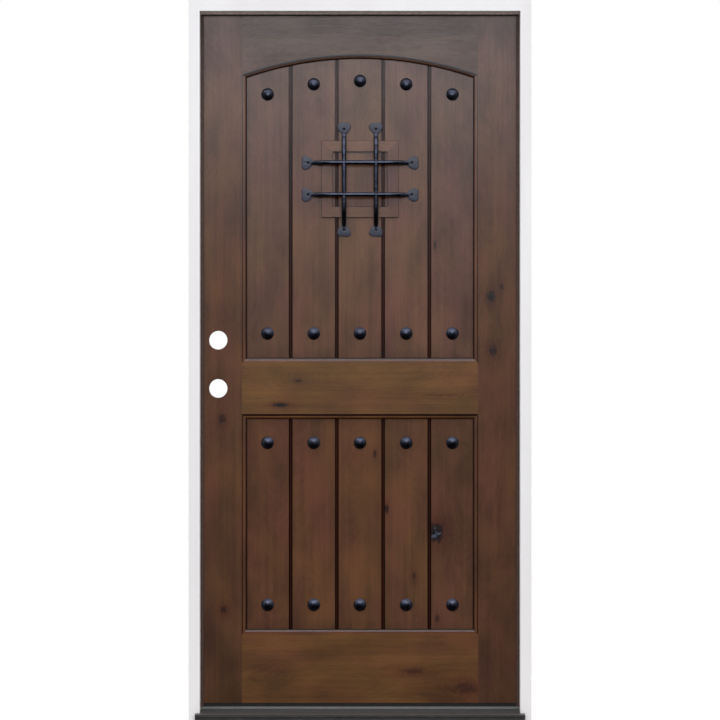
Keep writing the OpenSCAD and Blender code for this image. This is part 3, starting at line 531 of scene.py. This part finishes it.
def alder(name, along, seed, heart, stain, figure=1.0, knots=(), faces=None, glaze_shade_depths=None, glaze_shade_full=1.0,
          quirk=(0.0, 0.0), ring=0.0, inner=0.0, foot=1.0):
    """A stained board. along is the grain's axis, heart where the pith lies across the board, stain
    its mean colour, and knots are (across, along, radius, stretch, core colour, how dark). Between
    the depths glaze below its faces the dark stain and painted shade grow to glazed. quirk is how dark
    the stain and painted shade are in the mouldings, ring how dark the painted shade is round the
    speakeasy's ring and inner the painted shadow within it. foot is how much of its colour the board
    keeps at the sill, as painted shade."""
    mat, n, skin = new_material(name, specular=0.42)
    place = n.add("TexCoord").outputs["Object"]
    board = place
    if along == "x":
        px, py, pz = n.split(place)
        board = n.join(pz, py, px)
    marks = []
    for across, up, radius, stretch, core, strength in knots:
        out = use_group(n, KNOT, {"Place": board, "Centre": (across, 0.0, up),
                                  "Radius": KNOT_SIZE * radius, "Stretch": stretch})
        board = out["Place"]
        marks.append((out, core, strength))
    pale = tuple(c * PALE_WOOD for c in stain) + (1,)
    dark = tuple(c * DARK_WOOD for c in stain) + (1,)
    wood = use_group(n, ALDER, {"Place": board, "Seed": seed, "Heart": heart, "Pale": pale,
                                "Dark": dark, "Figure": figure})
    color, height, rough = wood["Color"], wood["Height"], wood["Roughness"]
    # Painted shade: the board darkens towards the floor
    if foot < 1:
        floor_shade = n.ease(n.split(place)[2], 0.05, 0.75, foot, 1.0)
        color = n.mix(1.0, color, n.gray(floor_shade), "MULTIPLY")
    for out, core, strength in marks:
        bark = RED_BARK if core == RED_KNOT else BLACK_BARK
        heartwood = n.mix(out["Fleck"], BLACK_KNOT, core)
        color = n.tinted(n.math("MULTIPLY", out["Halo"], KNOT_HALO * strength), color, KNOT_STAIN)
        color = n.mix(n.math("MULTIPLY", out["Rim"], bark * strength), color, BLACK_KNOT)
        color = n.mix(n.math("MULTIPLY", out["Core"], strength), color, heartwood)
        sink = n.math("MULTIPLY", out["Rim"], KNOT_SINK * strength)
        height = n.math("SUBTRACT", height, sink)
    # Dark stain and painted shade in the recesses below the faces and in the mouldings: rust where
    # thin, near-black where thick
    if faces:
        stain_and_shade = use_group(n, DEPTH, {"Place": place, "Front": faces[0], "Back": faces[1],
                                    "Start": glaze_shade_depths[0], "Full": glaze_shade_depths[1]})["Mask"]
        stain_and_shade = n.math("MULTIPLY", stain_and_shade, glaze_shade_full)
        if max(quirk) > 0:
            moulding_marks = use_group(n, QUIRK, {"Place": place, "Step": quirk[0], "Joint": quirk[1]})
            stain_and_shade = n.math("MAXIMUM", stain_and_shade, moulding_marks["Mask"])
            # painted shade near the panel's edges
            if quirk[0] == 0:
                color = n.mix(1.0, color, n.gray(moulding_marks["Unshaded"]), "MULTIPLY")
        # painted shade round the outside of the speakeasy's ring
        if ring > 0:
            stain_and_shade = n.math("MAXIMUM", stain_and_shade, ring_shade_line(n, place, ring))
        # painted shadow inside the speakeasy's ring
        if inner > 0:
            stain_and_shade = n.math("MAXIMUM", stain_and_shade, hatch_shadow_line(n, place, inner))
        black = n.mix(1.0, color, BLACK_GLAZE_AND_SHADE, "MULTIPLY")
        rusty = n.tinted(n.ease(stain_and_shade, 0.03, 0.20), color, RUST_GLAZE_AND_SHADE)
        color = n.mix(n.ease(stain_and_shade, 0.50, 0.95), rusty, black)
        rough = n.math("SUBTRACT", rough, n.math("MULTIPLY", stain_and_shade, 0.06), clamp=True)
    set_input(skin, "Base Color", color)
    set_input(skin, "Roughness", rough)
    set_bump(n, skin, height, 0.25, 0.4 * MM)
    return mat


def primed_wood():
    """White primer, rolled on: a fine stipple and faint grain under it, and a light painted shade
    that darkens it towards the floor."""
    mat, n, skin = new_material("primed wood", roughness=0.55)
    place = n.add("TexCoord").outputs["Object"]
    soft = n.noise(n.scaled(place, (6.0, 6.0, 1.6)), 3.0, 0.55)
    grain = n.noise(n.scaled(place, (240.0, 240.0, 5.0)), 3.0, 0.6)
    stipple = n.noise(n.scaled(place, (900.0,) * 3), 2.0, 0.6)
    color = n.mix(n.ease(soft, 0.3, 0.7), (0.88, 0.862, 0.858, 1), (0.83, 0.805, 0.80, 1))
    color = n.mix(n.ease(grain, 0.62, 0.75, 0.0, 0.25), color, (0.76, 0.73, 0.72, 1))
    # Painted shade, darker towards the floor
    floor_shade = n.ease(n.split(place)[2], 0.2, 1.5, 0.93, 1.0)
    color = n.mix(1.0, color, n.gray(floor_shade), "MULTIPLY")
    set_input(skin, "Base Color", color)
    set_input(skin, "Roughness", n.ease(soft, 0.3, 0.7, 0.50, 0.62))
    height = n.math("ADD", n.math("MULTIPLY", grain, 0.6), n.math("MULTIPLY", stipple, 0.4))
    set_bump(n, skin, height, 0.3, 0.4 * MM)
    return mat


def seal(name, tint, shaded_below=None):
    """Vinyl skin over foam: small wrinkles across its length and a dull sheen. Below the height
    shaded_below the skin is painted near-black, a painted shade along the edge that rolls back towards
    the slab."""
    mat, n, skin = new_material(name, roughness=0.6, specular=0.4)
    place = n.add("TexCoord").outputs["Object"]
    wrinkle = n.noise(n.scaled(place, (90.0, 90.0, 90.0)), 3.0, 0.55)
    pebble = n.noise(n.scaled(place, (1400.0,) * 3), 2.0)
    shade = tuple(c * 0.72 for c in tint) + (1,)
    color = n.mix(n.ease(wrinkle, 0.3, 0.7), tint + (1,), shade)
    if shaded_below:
        # Painted shade below that height
        shaded_lip = n.ease(n.split(place)[2], shaded_below + 0.4 * MM, shaded_below - 0.4 * MM)
        color = n.mix(shaded_lip, color, (0.020, 0.012, 0.010, 1))
    set_input(skin, "Base Color", color)
    set_input(skin, "Roughness", n.ease(wrinkle, 0.3, 0.7, 0.52, 0.68))
    height = n.math("ADD", wrinkle, n.math("MULTIPLY", pebble, 0.15))
    set_bump(n, skin, height, 0.5, 1.0 * MM)
    return mat


def extruded(name, tint, metallic, roughness):
    """Drawn metal or plastic: die lines along its length, and dust in the matt finish."""
    mat, n, skin = new_material(name, roughness=roughness, metallic=metallic)
    place = n.add("TexCoord").outputs["Object"]
    lines = n.noise(n.scaled(place, (2.0, 900.0, 900.0)), 2.0, 0.6)
    dust = n.noise(n.scaled(place, (30.0, 60.0, 60.0)), 4.0, 0.65)
    pale = tuple(c * 1.25 + 0.01 for c in tint) + (1,)
    color = n.mix(n.ease(lines, 0.3, 0.7), tuple(c * 0.88 for c in tint) + (1,), pale)
    color = n.mix(n.ease(dust, 0.5, 0.8, 0.0, 0.3), color, tuple(c * 1.6 + 0.02 for c in tint) + (1,))
    set_input(skin, "Base Color", color)
    set_input(skin, "Roughness", n.ease(dust, 0.3, 0.8, roughness - 0.06, roughness + 0.12))
    set_bump(n, skin, lines, 0.3, 0.2 * MM)
    return mat


def black_iron(name, dents=160.0, base=(0.040, 0.044, 0.061, 1), dull=0.0, feet_sheen=None):
    """Hammered iron under a satin black coat, rougher by dull. Where dusty gives a colour, the flat
    feet close to the planks have it as a painted sheen, a matt bluish grey in place of the metal."""
    mat, n, skin = new_material(name, roughness=0.34, metallic=1.0)
    place = n.add("TexCoord").outputs["Object"]
    iron = use_group(n, HAMMERED, {"Place": place, "Dents": dents, "Base": base})
    color, rough = iron["Color"], n.math("ADD", iron["Roughness"], dull)
    if feet_sheen:
        # The flat feet: a painted sheen, matt bluish grey and not metal
        foot = n.ease(n.split(place)[1], PLANK_FRONT - 6.5 * MM, PLANK_FRONT - 4.0 * MM)
        color = n.mix(foot, color, feet_sheen)
        rough = n.math("ADD", rough, n.math("MULTIPLY", foot, 0.16))
        set_input(skin, "Metallic", n.math("SUBTRACT", 1.0, foot))
    set_input(skin, "Base Color", color)
    set_input(skin, "Roughness", rough)
    set_bump(n, skin, iron["Height"], 0.35, 0.8 * MM)
    return mat


def bright_metal(name, tint, roughness, brushed=(1200.0, 1200.0, 12.0)):
    """Plated steel with fine brush marks along Z and slight tarnish."""
    mat, n, skin = new_material(name, roughness=roughness, metallic=1.0)
    place = n.add("TexCoord").outputs["Object"]
    marks = n.noise(n.scaled(place, brushed), 3.0, 0.6)
    tarnish = n.noise(n.scaled(place, (70.0,) * 3), 3.0, 0.6)
    tarnished = tuple(c * 0.7 for c in tint) + (1,)
    color = n.mix(n.ease(tarnish, 0.4, 0.75, 0.0, 0.6), tint + (1,), tarnished)
    set_input(skin, "Base Color", color)
    set_input(skin, "Roughness", n.math("ADD", n.ease(marks, 0.3, 0.7, -0.05, 0.07), roughness))
    set_bump(n, skin, marks, 0.2, 0.1 * MM)
    return mat


def plain_dowel():
    """End-grain flecked hardwood."""
    mat, n, skin = new_material("dowel wood", roughness=0.6)
    place = n.add("TexCoord").outputs["Object"]
    grain = n.noise(n.scaled(place, (9.0, 500.0, 500.0)), 3.0, 0.6)
    set_input(skin, "Base Color", n.mix(grain, (0.50, 0.36, 0.22, 1), (0.34, 0.22, 0.12, 1)))
    set_bump(n, skin, grain, 0.3, 0.3 * MM)
    return mat


# ---- Boards: where the grain runs, how each took the stain, and its knots ---------------------------

STILE = (0.088, 0.038, 0.0185)
STILE_WARM = (0.088, 0.037, 0.0190)
RAIL = (0.118, 0.055, 0.0200)
TOP_RAIL = (0.074, 0.038, 0.022)
UPPER = (0.106, 0.051, 0.029)
LOWER = (0.092, 0.038, 0.0180)

BOARDS = {
    "stile_lock_side": ("z", STILE, -0.46, [
        (-0.399, 0.866, 0.007, 1.3, BLACK_KNOT, 0.6),
        (-0.394, 0.313, 0.007, 1.2, RED_KNOT, 0.8),
    ]),
    "stile_hinge_side": ("z", STILE_WARM, 0.36, [
        (0.379, 1.217, 0.0075, 1.3, BLACK_KNOT, 0.95),
        (0.4075, 1.246, 0.0035, 1.6, BLACK_KNOT, 0.7),
        (0.384, 1.061, 0.009, 1.3, RED_KNOT, 0.8),
    ]),
    "top_rail": ("x", TOP_RAIL, 1.90, []),
    "lock_rail": ("x", RAIL, 0.99, [
        (0.905, -0.231, 0.004, 3.6, BLACK_KNOT, 0.9),
        (0.9745, -0.179, 0.003, 1.8, BLACK_KNOT, 0.7),
        (0.934, 0.235, 0.0035, 14.0, RED_KNOT, 0.35),
    ]),
    "bottom_rail": ("x", (0.102, 0.044, 0.0160), 0.10, [
        (0.136, 0.153, 0.006, 4.0, RED_KNOT, 0.55),
        (0.087, 0.3035, 0.013, 2.8, RED_KNOT, 0.55),
    ]),
    "upper_plank_1": ("z", (0.096, 0.046, 0.029), -0.31, []),
    "upper_plank_2": ("z", (0.100, 0.047, 0.029), -0.12, []),
    "upper_plank_3_above": ("z", UPPER, 0.05, []),
    "upper_plank_3_below": ("z", UPPER, 0.05, []),
    "upper_plank_4": ("z", (0.104, 0.049, 0.031), 0.16, []),
    "upper_plank_5": ("z", (0.096, 0.046, 0.030), 0.24, [
        (0.217, 1.368, 0.0022, 3.4, BLACK_KNOT, 0.8),
    ]),
    "lower_plank_1": ("z", (0.088, 0.036, 0.0180), -0.22, []),
    "lower_plank_2": ("z", (0.090, 0.037, 0.0180), -0.17, [
        (-0.208, 0.503, 0.004, 1.8, BLACK_KNOT, 0.8),
    ]),
    "lower_plank_3": ("z", LOWER, -0.03, [
        (0.043, 0.7635, 0.003, 2.4, BLACK_KNOT, 0.75),
    ]),
    "lower_plank_4": ("z", (0.090, 0.039, 0.0185), 0.19, [
        (0.156, 0.411, 0.0035, 1.8, RED_KNOT, 0.8),
        (0.077, 0.605, 0.004, 2.0, BLACK_KNOT, 0.85),
    ]),
    "lower_plank_5": ("z", (0.082, 0.035, 0.0190), 0.31, [
        (0.2196, 0.535, 0.013, 1.35, FILLED_KNOT, 1.0),
        (0.2225, 0.287, 0.0045, 1.5, BLACK_KNOT, 0.5),
    ]),
    "trim_top": ("x", (0.140, 0.067, 0.040), 1.70, []),
    "trim_right": ("z", (0.094, 0.045, 0.032), 0.17, []),
    "trim_bottom": ("x", (0.110, 0.052, 0.033), 1.40, []),
    "trim_left": ("z", (0.102, 0.048, 0.032), -0.15, []),
    "hatch_board_left": ("z", (0.112, 0.052, 0.034), -0.12, []),
    "hatch_board_middle": ("z", (0.118, 0.056, 0.034), 0.03, []),
    "hatch_board_right": ("z", (0.112, 0.052, 0.034), 0.12, []),
}
SAWN_TOGETHER = {"upper_plank_3_below": "upper_plank_3_above"}


def paint(node, material):
    """Gives every slot of a CAD node the material."""
    obj = frame["nodes"][node]
    for index in range(len(obj.material_slots)):
        obj.material_slots[index].material = material


def stain_boards():
    """Stains every board, with dark stain and painted shade in its mouldings, beads and joints."""
    planks = (PLANK_FRONT, PLANK_BACK)
    slab = (SLAB_FRONT, SLAB_BACK)
    names = list(BOARDS)
    for node, (along, stain, heart, knots) in BOARDS.items():
        seed = 1.0 + 0.73 * names.index(SAWN_TOGETHER.get(node, node))
        if node.startswith(("stile", "top_rail", "lock_rail", "bottom_rail")):
            look = dict(faces=slab, glaze_shade_depths=(2.2 * MM, 7.0 * MM), glaze_shade_full=0.35, quirk=(0.95, 0.95))
        elif node.startswith("trim"):
            look = dict(figure=0.8)
        else:
            look = dict(faces=planks, glaze_shade_depths=(0.1 * MM, 4.0 * MM), glaze_shade_full=1.0, quirk=(0.0, 0.95))
        # the stiles darken towards the floor as painted shade
        if node.startswith("stile"):
            look["foot"] = 0.78
        # the planks round the speakeasy get painted shade along its ring
        if node in ("upper_plank_2", "upper_plank_4", "upper_plank_3_above", "upper_plank_3_below"):
            look["ring"] = 0.85
        # the hatch boards get painted shadow along their edges, widest under the ring's top
        if node.startswith("hatch_board"):
            look["inner"] = 1.0
        name = "alder " + node.replace("_", " ")
        paint(node, alder(name, along, seed, heart, stain, knots=knots, **look))


# ---- Pieces --------------------------------------------------------------------------------------

def mesh_piece(name, points, faces, material, node):
    """A piece from points and faces that rides where its CAD node rides and stands for it."""
    mesh = bpy.data.meshes.new(name)
    mesh.from_pydata(np.asarray(points).tolist(), [], faces)
    mesh.update()
    mesh.polygons.foreach_set("use_smooth", [True] * len(mesh.polygons))
    mesh.materials.append(material)
    piece = bpy.data.objects.new(name, mesh)
    bpy.context.scene.collection.objects.link(piece)
    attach(piece, BODY[node])
    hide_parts(node)
    return piece


def grid_faces(rows, columns, start=0):
    """Quads of a grid of points, rows by columns, whose rows close on themselves."""
    r = np.arange(rows - 1)[:, None]
    c = np.arange(columns)[None, :]
    nxt = (c + 1) % columns
    here, there = r * columns, (r + 1) * columns
    quads = np.stack([here + c, here + nxt, there + nxt, there + c], -1)
    return (quads.reshape(-1, 4) + start).tolist()


def clavo_centres():
    """The middles of the clavos' heads, read off the CAD node. The points at the heads' tips are
    gathered by column, which is x over the planks' pitch, and by row, which is how many of the
    heights between the rows lie below; a head's middle is halfway between their least and greatest."""
    vertices = frame["nodes"]["clavos"].data.vertices
    points = np.empty(len(vertices) * 3, dtype=np.float32)
    vertices.foreach_get("co", points)
    points = points.reshape(-1, 3).astype(float)
    tips = points[points[:, 1] < points[:, 1].min() + 0.5 * MM][:, [0, 2]]
    between = np.array([BOTTOM_TOP + LOCK_LOW, LOCK_LOW + LOCK_TOP, LOCK_TOP + CROWN_Z]) / 2
    rows = len(between) + 1
    column = np.round(tips[:, 0] / PLANK_PITCH).astype(int) + PLANKS // 2
    head = column * rows + np.digitize(tips[:, 1], between)
    low = np.full((PLANKS * rows, 2), np.inf)
    high = -low
    np.minimum.at(low, head, tips)
    np.maximum.at(high, head, tips)
    return (low + high) / 2


CLAVO_R = 18.25 * MM
CLAVO_RIM = 0.8 * MM
HAMMER_MARKS = 26
GOLDEN_TURN = 2.39996


def make_clavos(material):
    """Hammered domed nail heads. A head's height over its plank is that of a ball cut off by the
    plank, less a shallow bowl at each of its hammer marks, which lie on a spiral of golden turns; it
    is never less than the rim's, which goes straight down to the plank."""
    height = PLANK_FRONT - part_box("clavos")[0][1]
    ball = (CLAVO_R ** 2 + height ** 2) / (2 * height)
    rings, spokes = 22, 56
    r = CLAVO_R * np.linspace(0.0, 1.0, rings)[1:, None]
    a = np.linspace(0, 2 * np.pi, spokes, endpoint=False)[None, :]
    x, z = r * np.cos(a), r * np.sin(a)
    here = np.arange(spokes)
    nxt = (here + 1) % spokes
    turns = np.arange(HAMMER_MARKS)
    points, faces = [], []
    for number, (cx, cz) in enumerate(clavo_centres()):
        rng = np.random.default_rng(100 + number)
        out = CLAVO_R * np.sqrt((turns + 0.5) / HAMMER_MARKS) * rng.uniform(0.92, 1.04, HAMMER_MARKS)
        turn = turns * GOLDEN_TURN + rng.uniform(0, 6.28)
        mx, mz = out * np.cos(turn), out * np.sin(turn)
        size = rng.uniform(3.2, 4.6, HAMMER_MARKS) * MM
        depth = rng.uniform(0.08, 0.20, HAMMER_MARKS) * MM
        far = ((x[..., None] - mx) ** 2 + (z[..., None] - mz) ** 2) / size ** 2
        dents = (depth * np.clip(1 - far, 0, None) ** 1.2).max(-1)
        dome = np.sqrt(np.clip(ball ** 2 - r ** 2, 0, None)) - (ball - height) + 0 * a
        dome = np.maximum(dome, CLAVO_RIM) - dents * np.clip(dome / (2 * MM), 0, 1)
        start = len(points)
        tip = float(height - dents[0].mean() * 0.5)
        points.append((cx, PLANK_FRONT - tip, cz))
        points += np.stack([cx + x, PLANK_FRONT - dome, cz + z], -1).reshape(-1, 3).tolist()
        points += np.stack([cx + x[-1], np.full(spokes, PLANK_FRONT), cz + z[-1]], -1).tolist()
        points.append((cx, PLANK_FRONT, cz))
        last = len(points) - 1
        first, edge = start + 1, last - spokes
        faces += np.stack([first + here, first + nxt, np.full(spokes, start)], -1).tolist()
        faces += np.stack([np.full(spokes, last), edge + here, edge + nxt], -1).tolist()
        faces += [quad[::-1] for quad in grid_faces(rings, spokes, first)]
    piece = mesh_piece("clavos_hammered", points, faces, material, "clavos")
    outward(piece)


def outward(piece):
    """Turns every face of a closed piece outwards."""
    bm = bmesh.new()
    bm.from_mesh(piece.data)
    bmesh.ops.recalc_face_normals(bm, faces=bm.faces)
    bm.to_mesh(piece.data)
    bm.free()


BAR_R = 6.75 * MM         # a bar's half thickness
BAR_PITCH = 92.5 * MM     # between the middles of two bars
PAD_L = 33 * MM           # from a fan's end to its neck
PAD_T = 4 * MM            # a fan's thickness
HOLE_IN = 19 * MM         # from a fan's end to its screw
GRILLE_LIFT = 2.5 * MM    # how far the level bars' middle lies above the uprights' middle


def make_grille(material):
    """Four forged bars. A bar's middle line is straight, bends down on a wide arc and out again on a
    tight one, and flattens into a fan with a screw hole. Its section is a rounded figure with half
    width w and half thickness t: (w cos a, t sin a)."""
    low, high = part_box("grille")
    stand = PLANK_FRONT - low[1] - BAR_R
    centre = np.array([(low[0] + high[0]) / 2, (low[2] + high[2]) / 2])
    outer, inner, end_stand = 80 * MM, 25 * MM, 4 * MM
    bend = math.acos(1 - (stand - end_stand) / (outer + inner))
    run = (outer + inner) * math.sin(bend)
    sides = 20

    def line(s, straight):
        """Height of the bar's middle over the planks at a distance s from the bar's own middle."""
        s = np.abs(s)
        first = outer * math.sin(bend)
        d = np.clip(s - straight, 0, first)
        h = stand - outer + np.sqrt(outer ** 2 - d ** 2)
        e = np.clip(straight + run - s, 0, inner * math.sin(bend))
        h2 = end_stand + inner - np.sqrt(inner ** 2 - e ** 2)
        return np.where(s > straight + first, h2, h)

    points, faces = [], []

    def add_bar(place, half, rng):
        """One bar. Over 20 mm round its necks it flattens and sinks to the planks; its width varies
        by a fifth of a millimetre along it."""
        neck = half - PAD_L
        straight = neck - run
        reach = neck + 7 * MM
        s = np.concatenate([np.linspace(-reach, -straight, 34),
                            np.linspace(-straight, straight, 40)[1:-1],
                            np.linspace(straight, reach, 34)])
        h = line(s, straight)
        beyond = np.clip((np.abs(s) - (neck - 14 * MM)) / (20 * MM), 0, 1)
        wobble = np.interp(s, np.linspace(-reach, reach, 30), rng.uniform(-0.22, 0.22, 30)) * MM
        w = BAR_R * (1 - 0.10 * beyond) + wobble * (1 - beyond)
        t = BAR_R * (1 - 0.62 * beyond) + wobble * (1 - beyond)
        h = h - beyond * 1.4 * MM
        slope = np.gradient(h, s)
        nx, nh = -slope / np.hypot(1, slope), 1 / np.hypot(1, slope)
        a = np.linspace(0, 2 * np.pi, sides, endpoint=False)[None, :]
        flat = rng.uniform(-0.12, 0.12, (len(s), 1)) * MM
        along = s[:, None] + nx[:, None] * (t[:, None] * np.sin(a))
        rise = h[:, None] + nh[:, None] * ((t[:, None] + flat) * np.sin(a))
        wide = w[:, None] * np.cos(a)
        rise = np.maximum(rise, 0.4 * MM)
        start = len(points)
        points.extend(place(along.ravel(), wide.ravel(), rise.ravel()))
        faces.extend(grid_faces(len(s), sides, start))
        faces.append(list(range(start, start + sides)))
        faces.append(list(range(start + (len(s) - 1) * sides, start + len(s) * sides))[::-1])

    def add_pad(place, half, side, rng):
        """The fan: its outline lies round the screw hole at the lengths of spokes an eighth of a
        half turn apart, from the end round to the neck, smoothed; the plate is dished and thins
        towards its edge."""
        around = 72
        phi = np.linspace(0, 2 * np.pi, around, endpoint=False)
        u = np.stack([np.cos(phi), np.sin(phi)], -1)
        spokes = np.array([17.0, 20.8, 24.4, 21.6, 17.2, 14.8, 14.0, 14.6, 15.0]) * MM
        turn = np.abs(np.arctan2(u[:, 1], u[:, 0]))
        out = np.interp(turn, np.linspace(0, np.pi, len(spokes)), spokes)
        out = (np.roll(out, 3) + np.roll(out, 2) + 2 * out + np.roll(out, -2) + np.roll(out, -3)) / 6
        out = (np.roll(out, 1) + 2 * out + np.roll(out, -1)) / 4
        slow = 0.02 * np.sin(3 * phi + rng.uniform(0, 6))
        quick = 0.012 * np.sin(7 * phi + rng.uniform(0, 6))
        out = out * (1 + slow + quick)
        hole = 2.15 * MM
        sink = 4.1 * MM
        thick = PAD_T * 0.95
        back, edge = 0.2 * MM, thick - 1.9 * MM
        rings = [(hole, back), (hole, edge), (sink, thick - 0.05 * MM)]
        grid_r = [np.full(around, r) for r, _ in rings]
        grid_h = [np.full(around, h) for _, h in rings]
        for f in (0.12, 0.3, 0.5, 0.7, 0.86, 0.95):
            r = sink + (out - sink) * f
            round_it = np.sin(5 * phi + 9 * f + rng.uniform(0, 6))
            dent = 0.30 * MM * round_it * np.sin(11 * f + rng.uniform(0, 6))
            grid_r.append(r)
            grid_h.append(thick - 0.9 * MM * f ** 2 + dent * (1 - f))
        grid_r += [out, out * 0.995, np.full(around, hole)]
        grid_h += [np.full(around, edge), np.full(around, back), np.full(around, back)]
        r, h = np.array(grid_r), np.array(grid_h)
        along = side * (half - HOLE_IN + r * u[:, 0])
        wide = r * u[:, 1]
        start = len(points)
        points.extend(place(along.ravel(), wide.ravel(), h.ravel()))
        quads = grid_faces(len(grid_r), around, start)
        faces.extend(quads if side > 0 else [q[::-1] for q in quads])

    rng = np.random.default_rng(7)
    for offset in (-BAR_PITCH / 2, BAR_PITCH / 2):
        def level(s, w, h, offset=offset):
            z = centre[1] + GRILLE_LIFT + offset + w
            return np.stack([centre[0] + s, PLANK_FRONT - h, z], -1).tolist()

        def upright(s, w, h, offset=offset):
            return np.stack([centre[0] + offset - w, PLANK_FRONT - h, centre[1] + s], -1).tolist()

        for place, reach in ((level, (high[0] - low[0]) / 2), (upright, (high[2] - low[2]) / 2)):
            add_bar(place, reach, rng)
            for side in (-1, 1):
                add_pad(place, reach, side, rng)
    piece = mesh_piece("grille_forged", points, faces, material, "grille")
    outward(piece)


def make_grille_screws(material):
    """Countersunk screws a little below the fans' faces, as profiles turned round their axes. The flat
    head has a cross-shaped recess: it sinks where |x| or |z|, turned with the screw, is under the
    recess's half width and the radius is under its reach."""
    low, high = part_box("grille")
    across = (high[0] - low[0]) / 2 - HOLE_IN
    up = (high[2] - low[2]) / 2 - HOLE_IN
    cx, cz = (low[0] + high[0]) / 2, (low[2] + high[2]) / 2
    aside = BAR_PITCH / 2
    spots = [(s * across, t * aside + GRILLE_LIFT) for s in (-1, 1) for t in (-1, 1)]
    spots += [(t * aside, s * up) for s in (-1, 1) for t in (-1, 1)]
    around, head_rows = 32, 7
    recess_half, recess_reach, recess_floor = 0.45 * MM, 2.3 * MM, 0.7 * MM
    rows_r = np.array([0.0001, 0.6, 1.2, 1.8, 2.4, 3.2, 3.85, 2.05, 2.0, 1.9, 0.0001]) * MM
    rows_h = np.array([2.15] * head_rows + [1.0, -14.0, -15.0, -16.0]) * MM
    head = np.arange(len(rows_r))[:, None] < head_rows
    phi = np.linspace(0, 2 * np.pi, around, endpoint=False)
    points, faces = [], []
    for number, (sx, sz) in enumerate(spots):
        turn = 0.4 * number
        r = np.repeat(rows_r[:, None], around, 1)
        h = np.repeat(rows_h[:, None], around, 1)
        slot = np.minimum(np.abs(np.cos(phi - turn)), np.abs(np.sin(phi - turn)))[None, :] * r
        recess = head & (slot < recess_half) & (r < recess_reach)
        h = np.where(recess, recess_floor, h)
        x = cx + sx + r * np.cos(phi)
        z = cz + sz + r * np.sin(phi)
        start = len(points)
        points += np.stack([x, PLANK_FRONT - h, z], -1).reshape(-1, 3).tolist()
        faces += grid_faces(len(rows_r), around, start)
        faces.append(list(range(start, start + around))[::-1])
        faces.append(list(range(start + (len(rows_r) - 1) * around, start + len(rows_r) * around)))
    piece = mesh_piece("grille_screws_recessed", points, faces, material, "grille_screws")
    outward(piece)


# ---- Everything together -------------------------------------------------------------------------

def finish_nodes():
    """Gives every other CAD node its finish, and makes the iron pieces."""
    white = primed_wood()
    for node in ("jamb_hinge_side", "jamb_lock_side", "head_jamb"):
        paint(node, white)
    brown = seal("seal brown", (0.066, 0.035, 0.026))
    paint("weatherstrip_hinge_side", brown)
    paint("weatherstrip_lock_side", brown)
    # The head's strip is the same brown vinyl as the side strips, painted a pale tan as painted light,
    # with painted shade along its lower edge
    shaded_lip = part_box("weatherstrip_head")[0][2] + 5.0 * MM
    paint("weatherstrip_head", seal("seal brown painted lit", (0.92, 0.70, 0.58), shaded_lip))
    paint("sill_substrate", extruded("sill composite", (0.03, 0.028, 0.027), 0.0, 0.7))
    paint("sill_deck", extruded("bronze aluminium", (0.058, 0.054, 0.052), 0.5, 0.45))
    paint("sill_cap", extruded("cap composite", (0.045, 0.043, 0.042), 0.0, 0.55))
    paint("door_sweep", seal("sweep vinyl", (0.010, 0.009, 0.009)))
    iron = black_iron("black iron")
    make_clavos(black_iron("clavo iron", dull=0.07))
    make_grille(black_iron("grille iron", feet_sheen=(0.024, 0.027, 0.045, 1)))
    make_grille_screws(black_iron("screw black", 400.0, (0.010, 0.010, 0.014, 1)))
    paint("hatch_knob", iron)
    nickel = bright_metal("satin nickel", (0.56, 0.53, 0.48), 0.32)
    zinc = bright_metal("zinc screws", (0.62, 0.61, 0.58), 0.38, (600.0,) * 3)
    chrome = bright_metal("magnet steel", (0.66, 0.66, 0.67), 0.22, (600.0,) * 3)
    for node in frame["nodes"]:
        if node.startswith(("hinge_", "hatch_hinge")):
            paint(node, nickel)
        if "screws" in node and not node.startswith("grille"):
            paint(node, zinc)
    paint("hatch_magnet", chrome)
    paint("hatch_catch_plate", chrome)
    paint("rail_dowels", plain_dowel())


make_camera()
bpy.context.scene.view_settings.view_transform = "Standard"
make_world()
make_floor()
make_light("high box", place=(0.0, -2.8, 2.32), aim=(0.0, -0.5, 1.2), size=(2.6, 0.8), radiance=6.7,
           tint=(0.97, 0.99, 1.06))
make_light("back box", place=(0.6, 2.8, 2.0), aim=(0.0, 0.3, 1.0), size=(2.4, 1.6), radiance=1.5)
stain_boards()
finish_nodes()
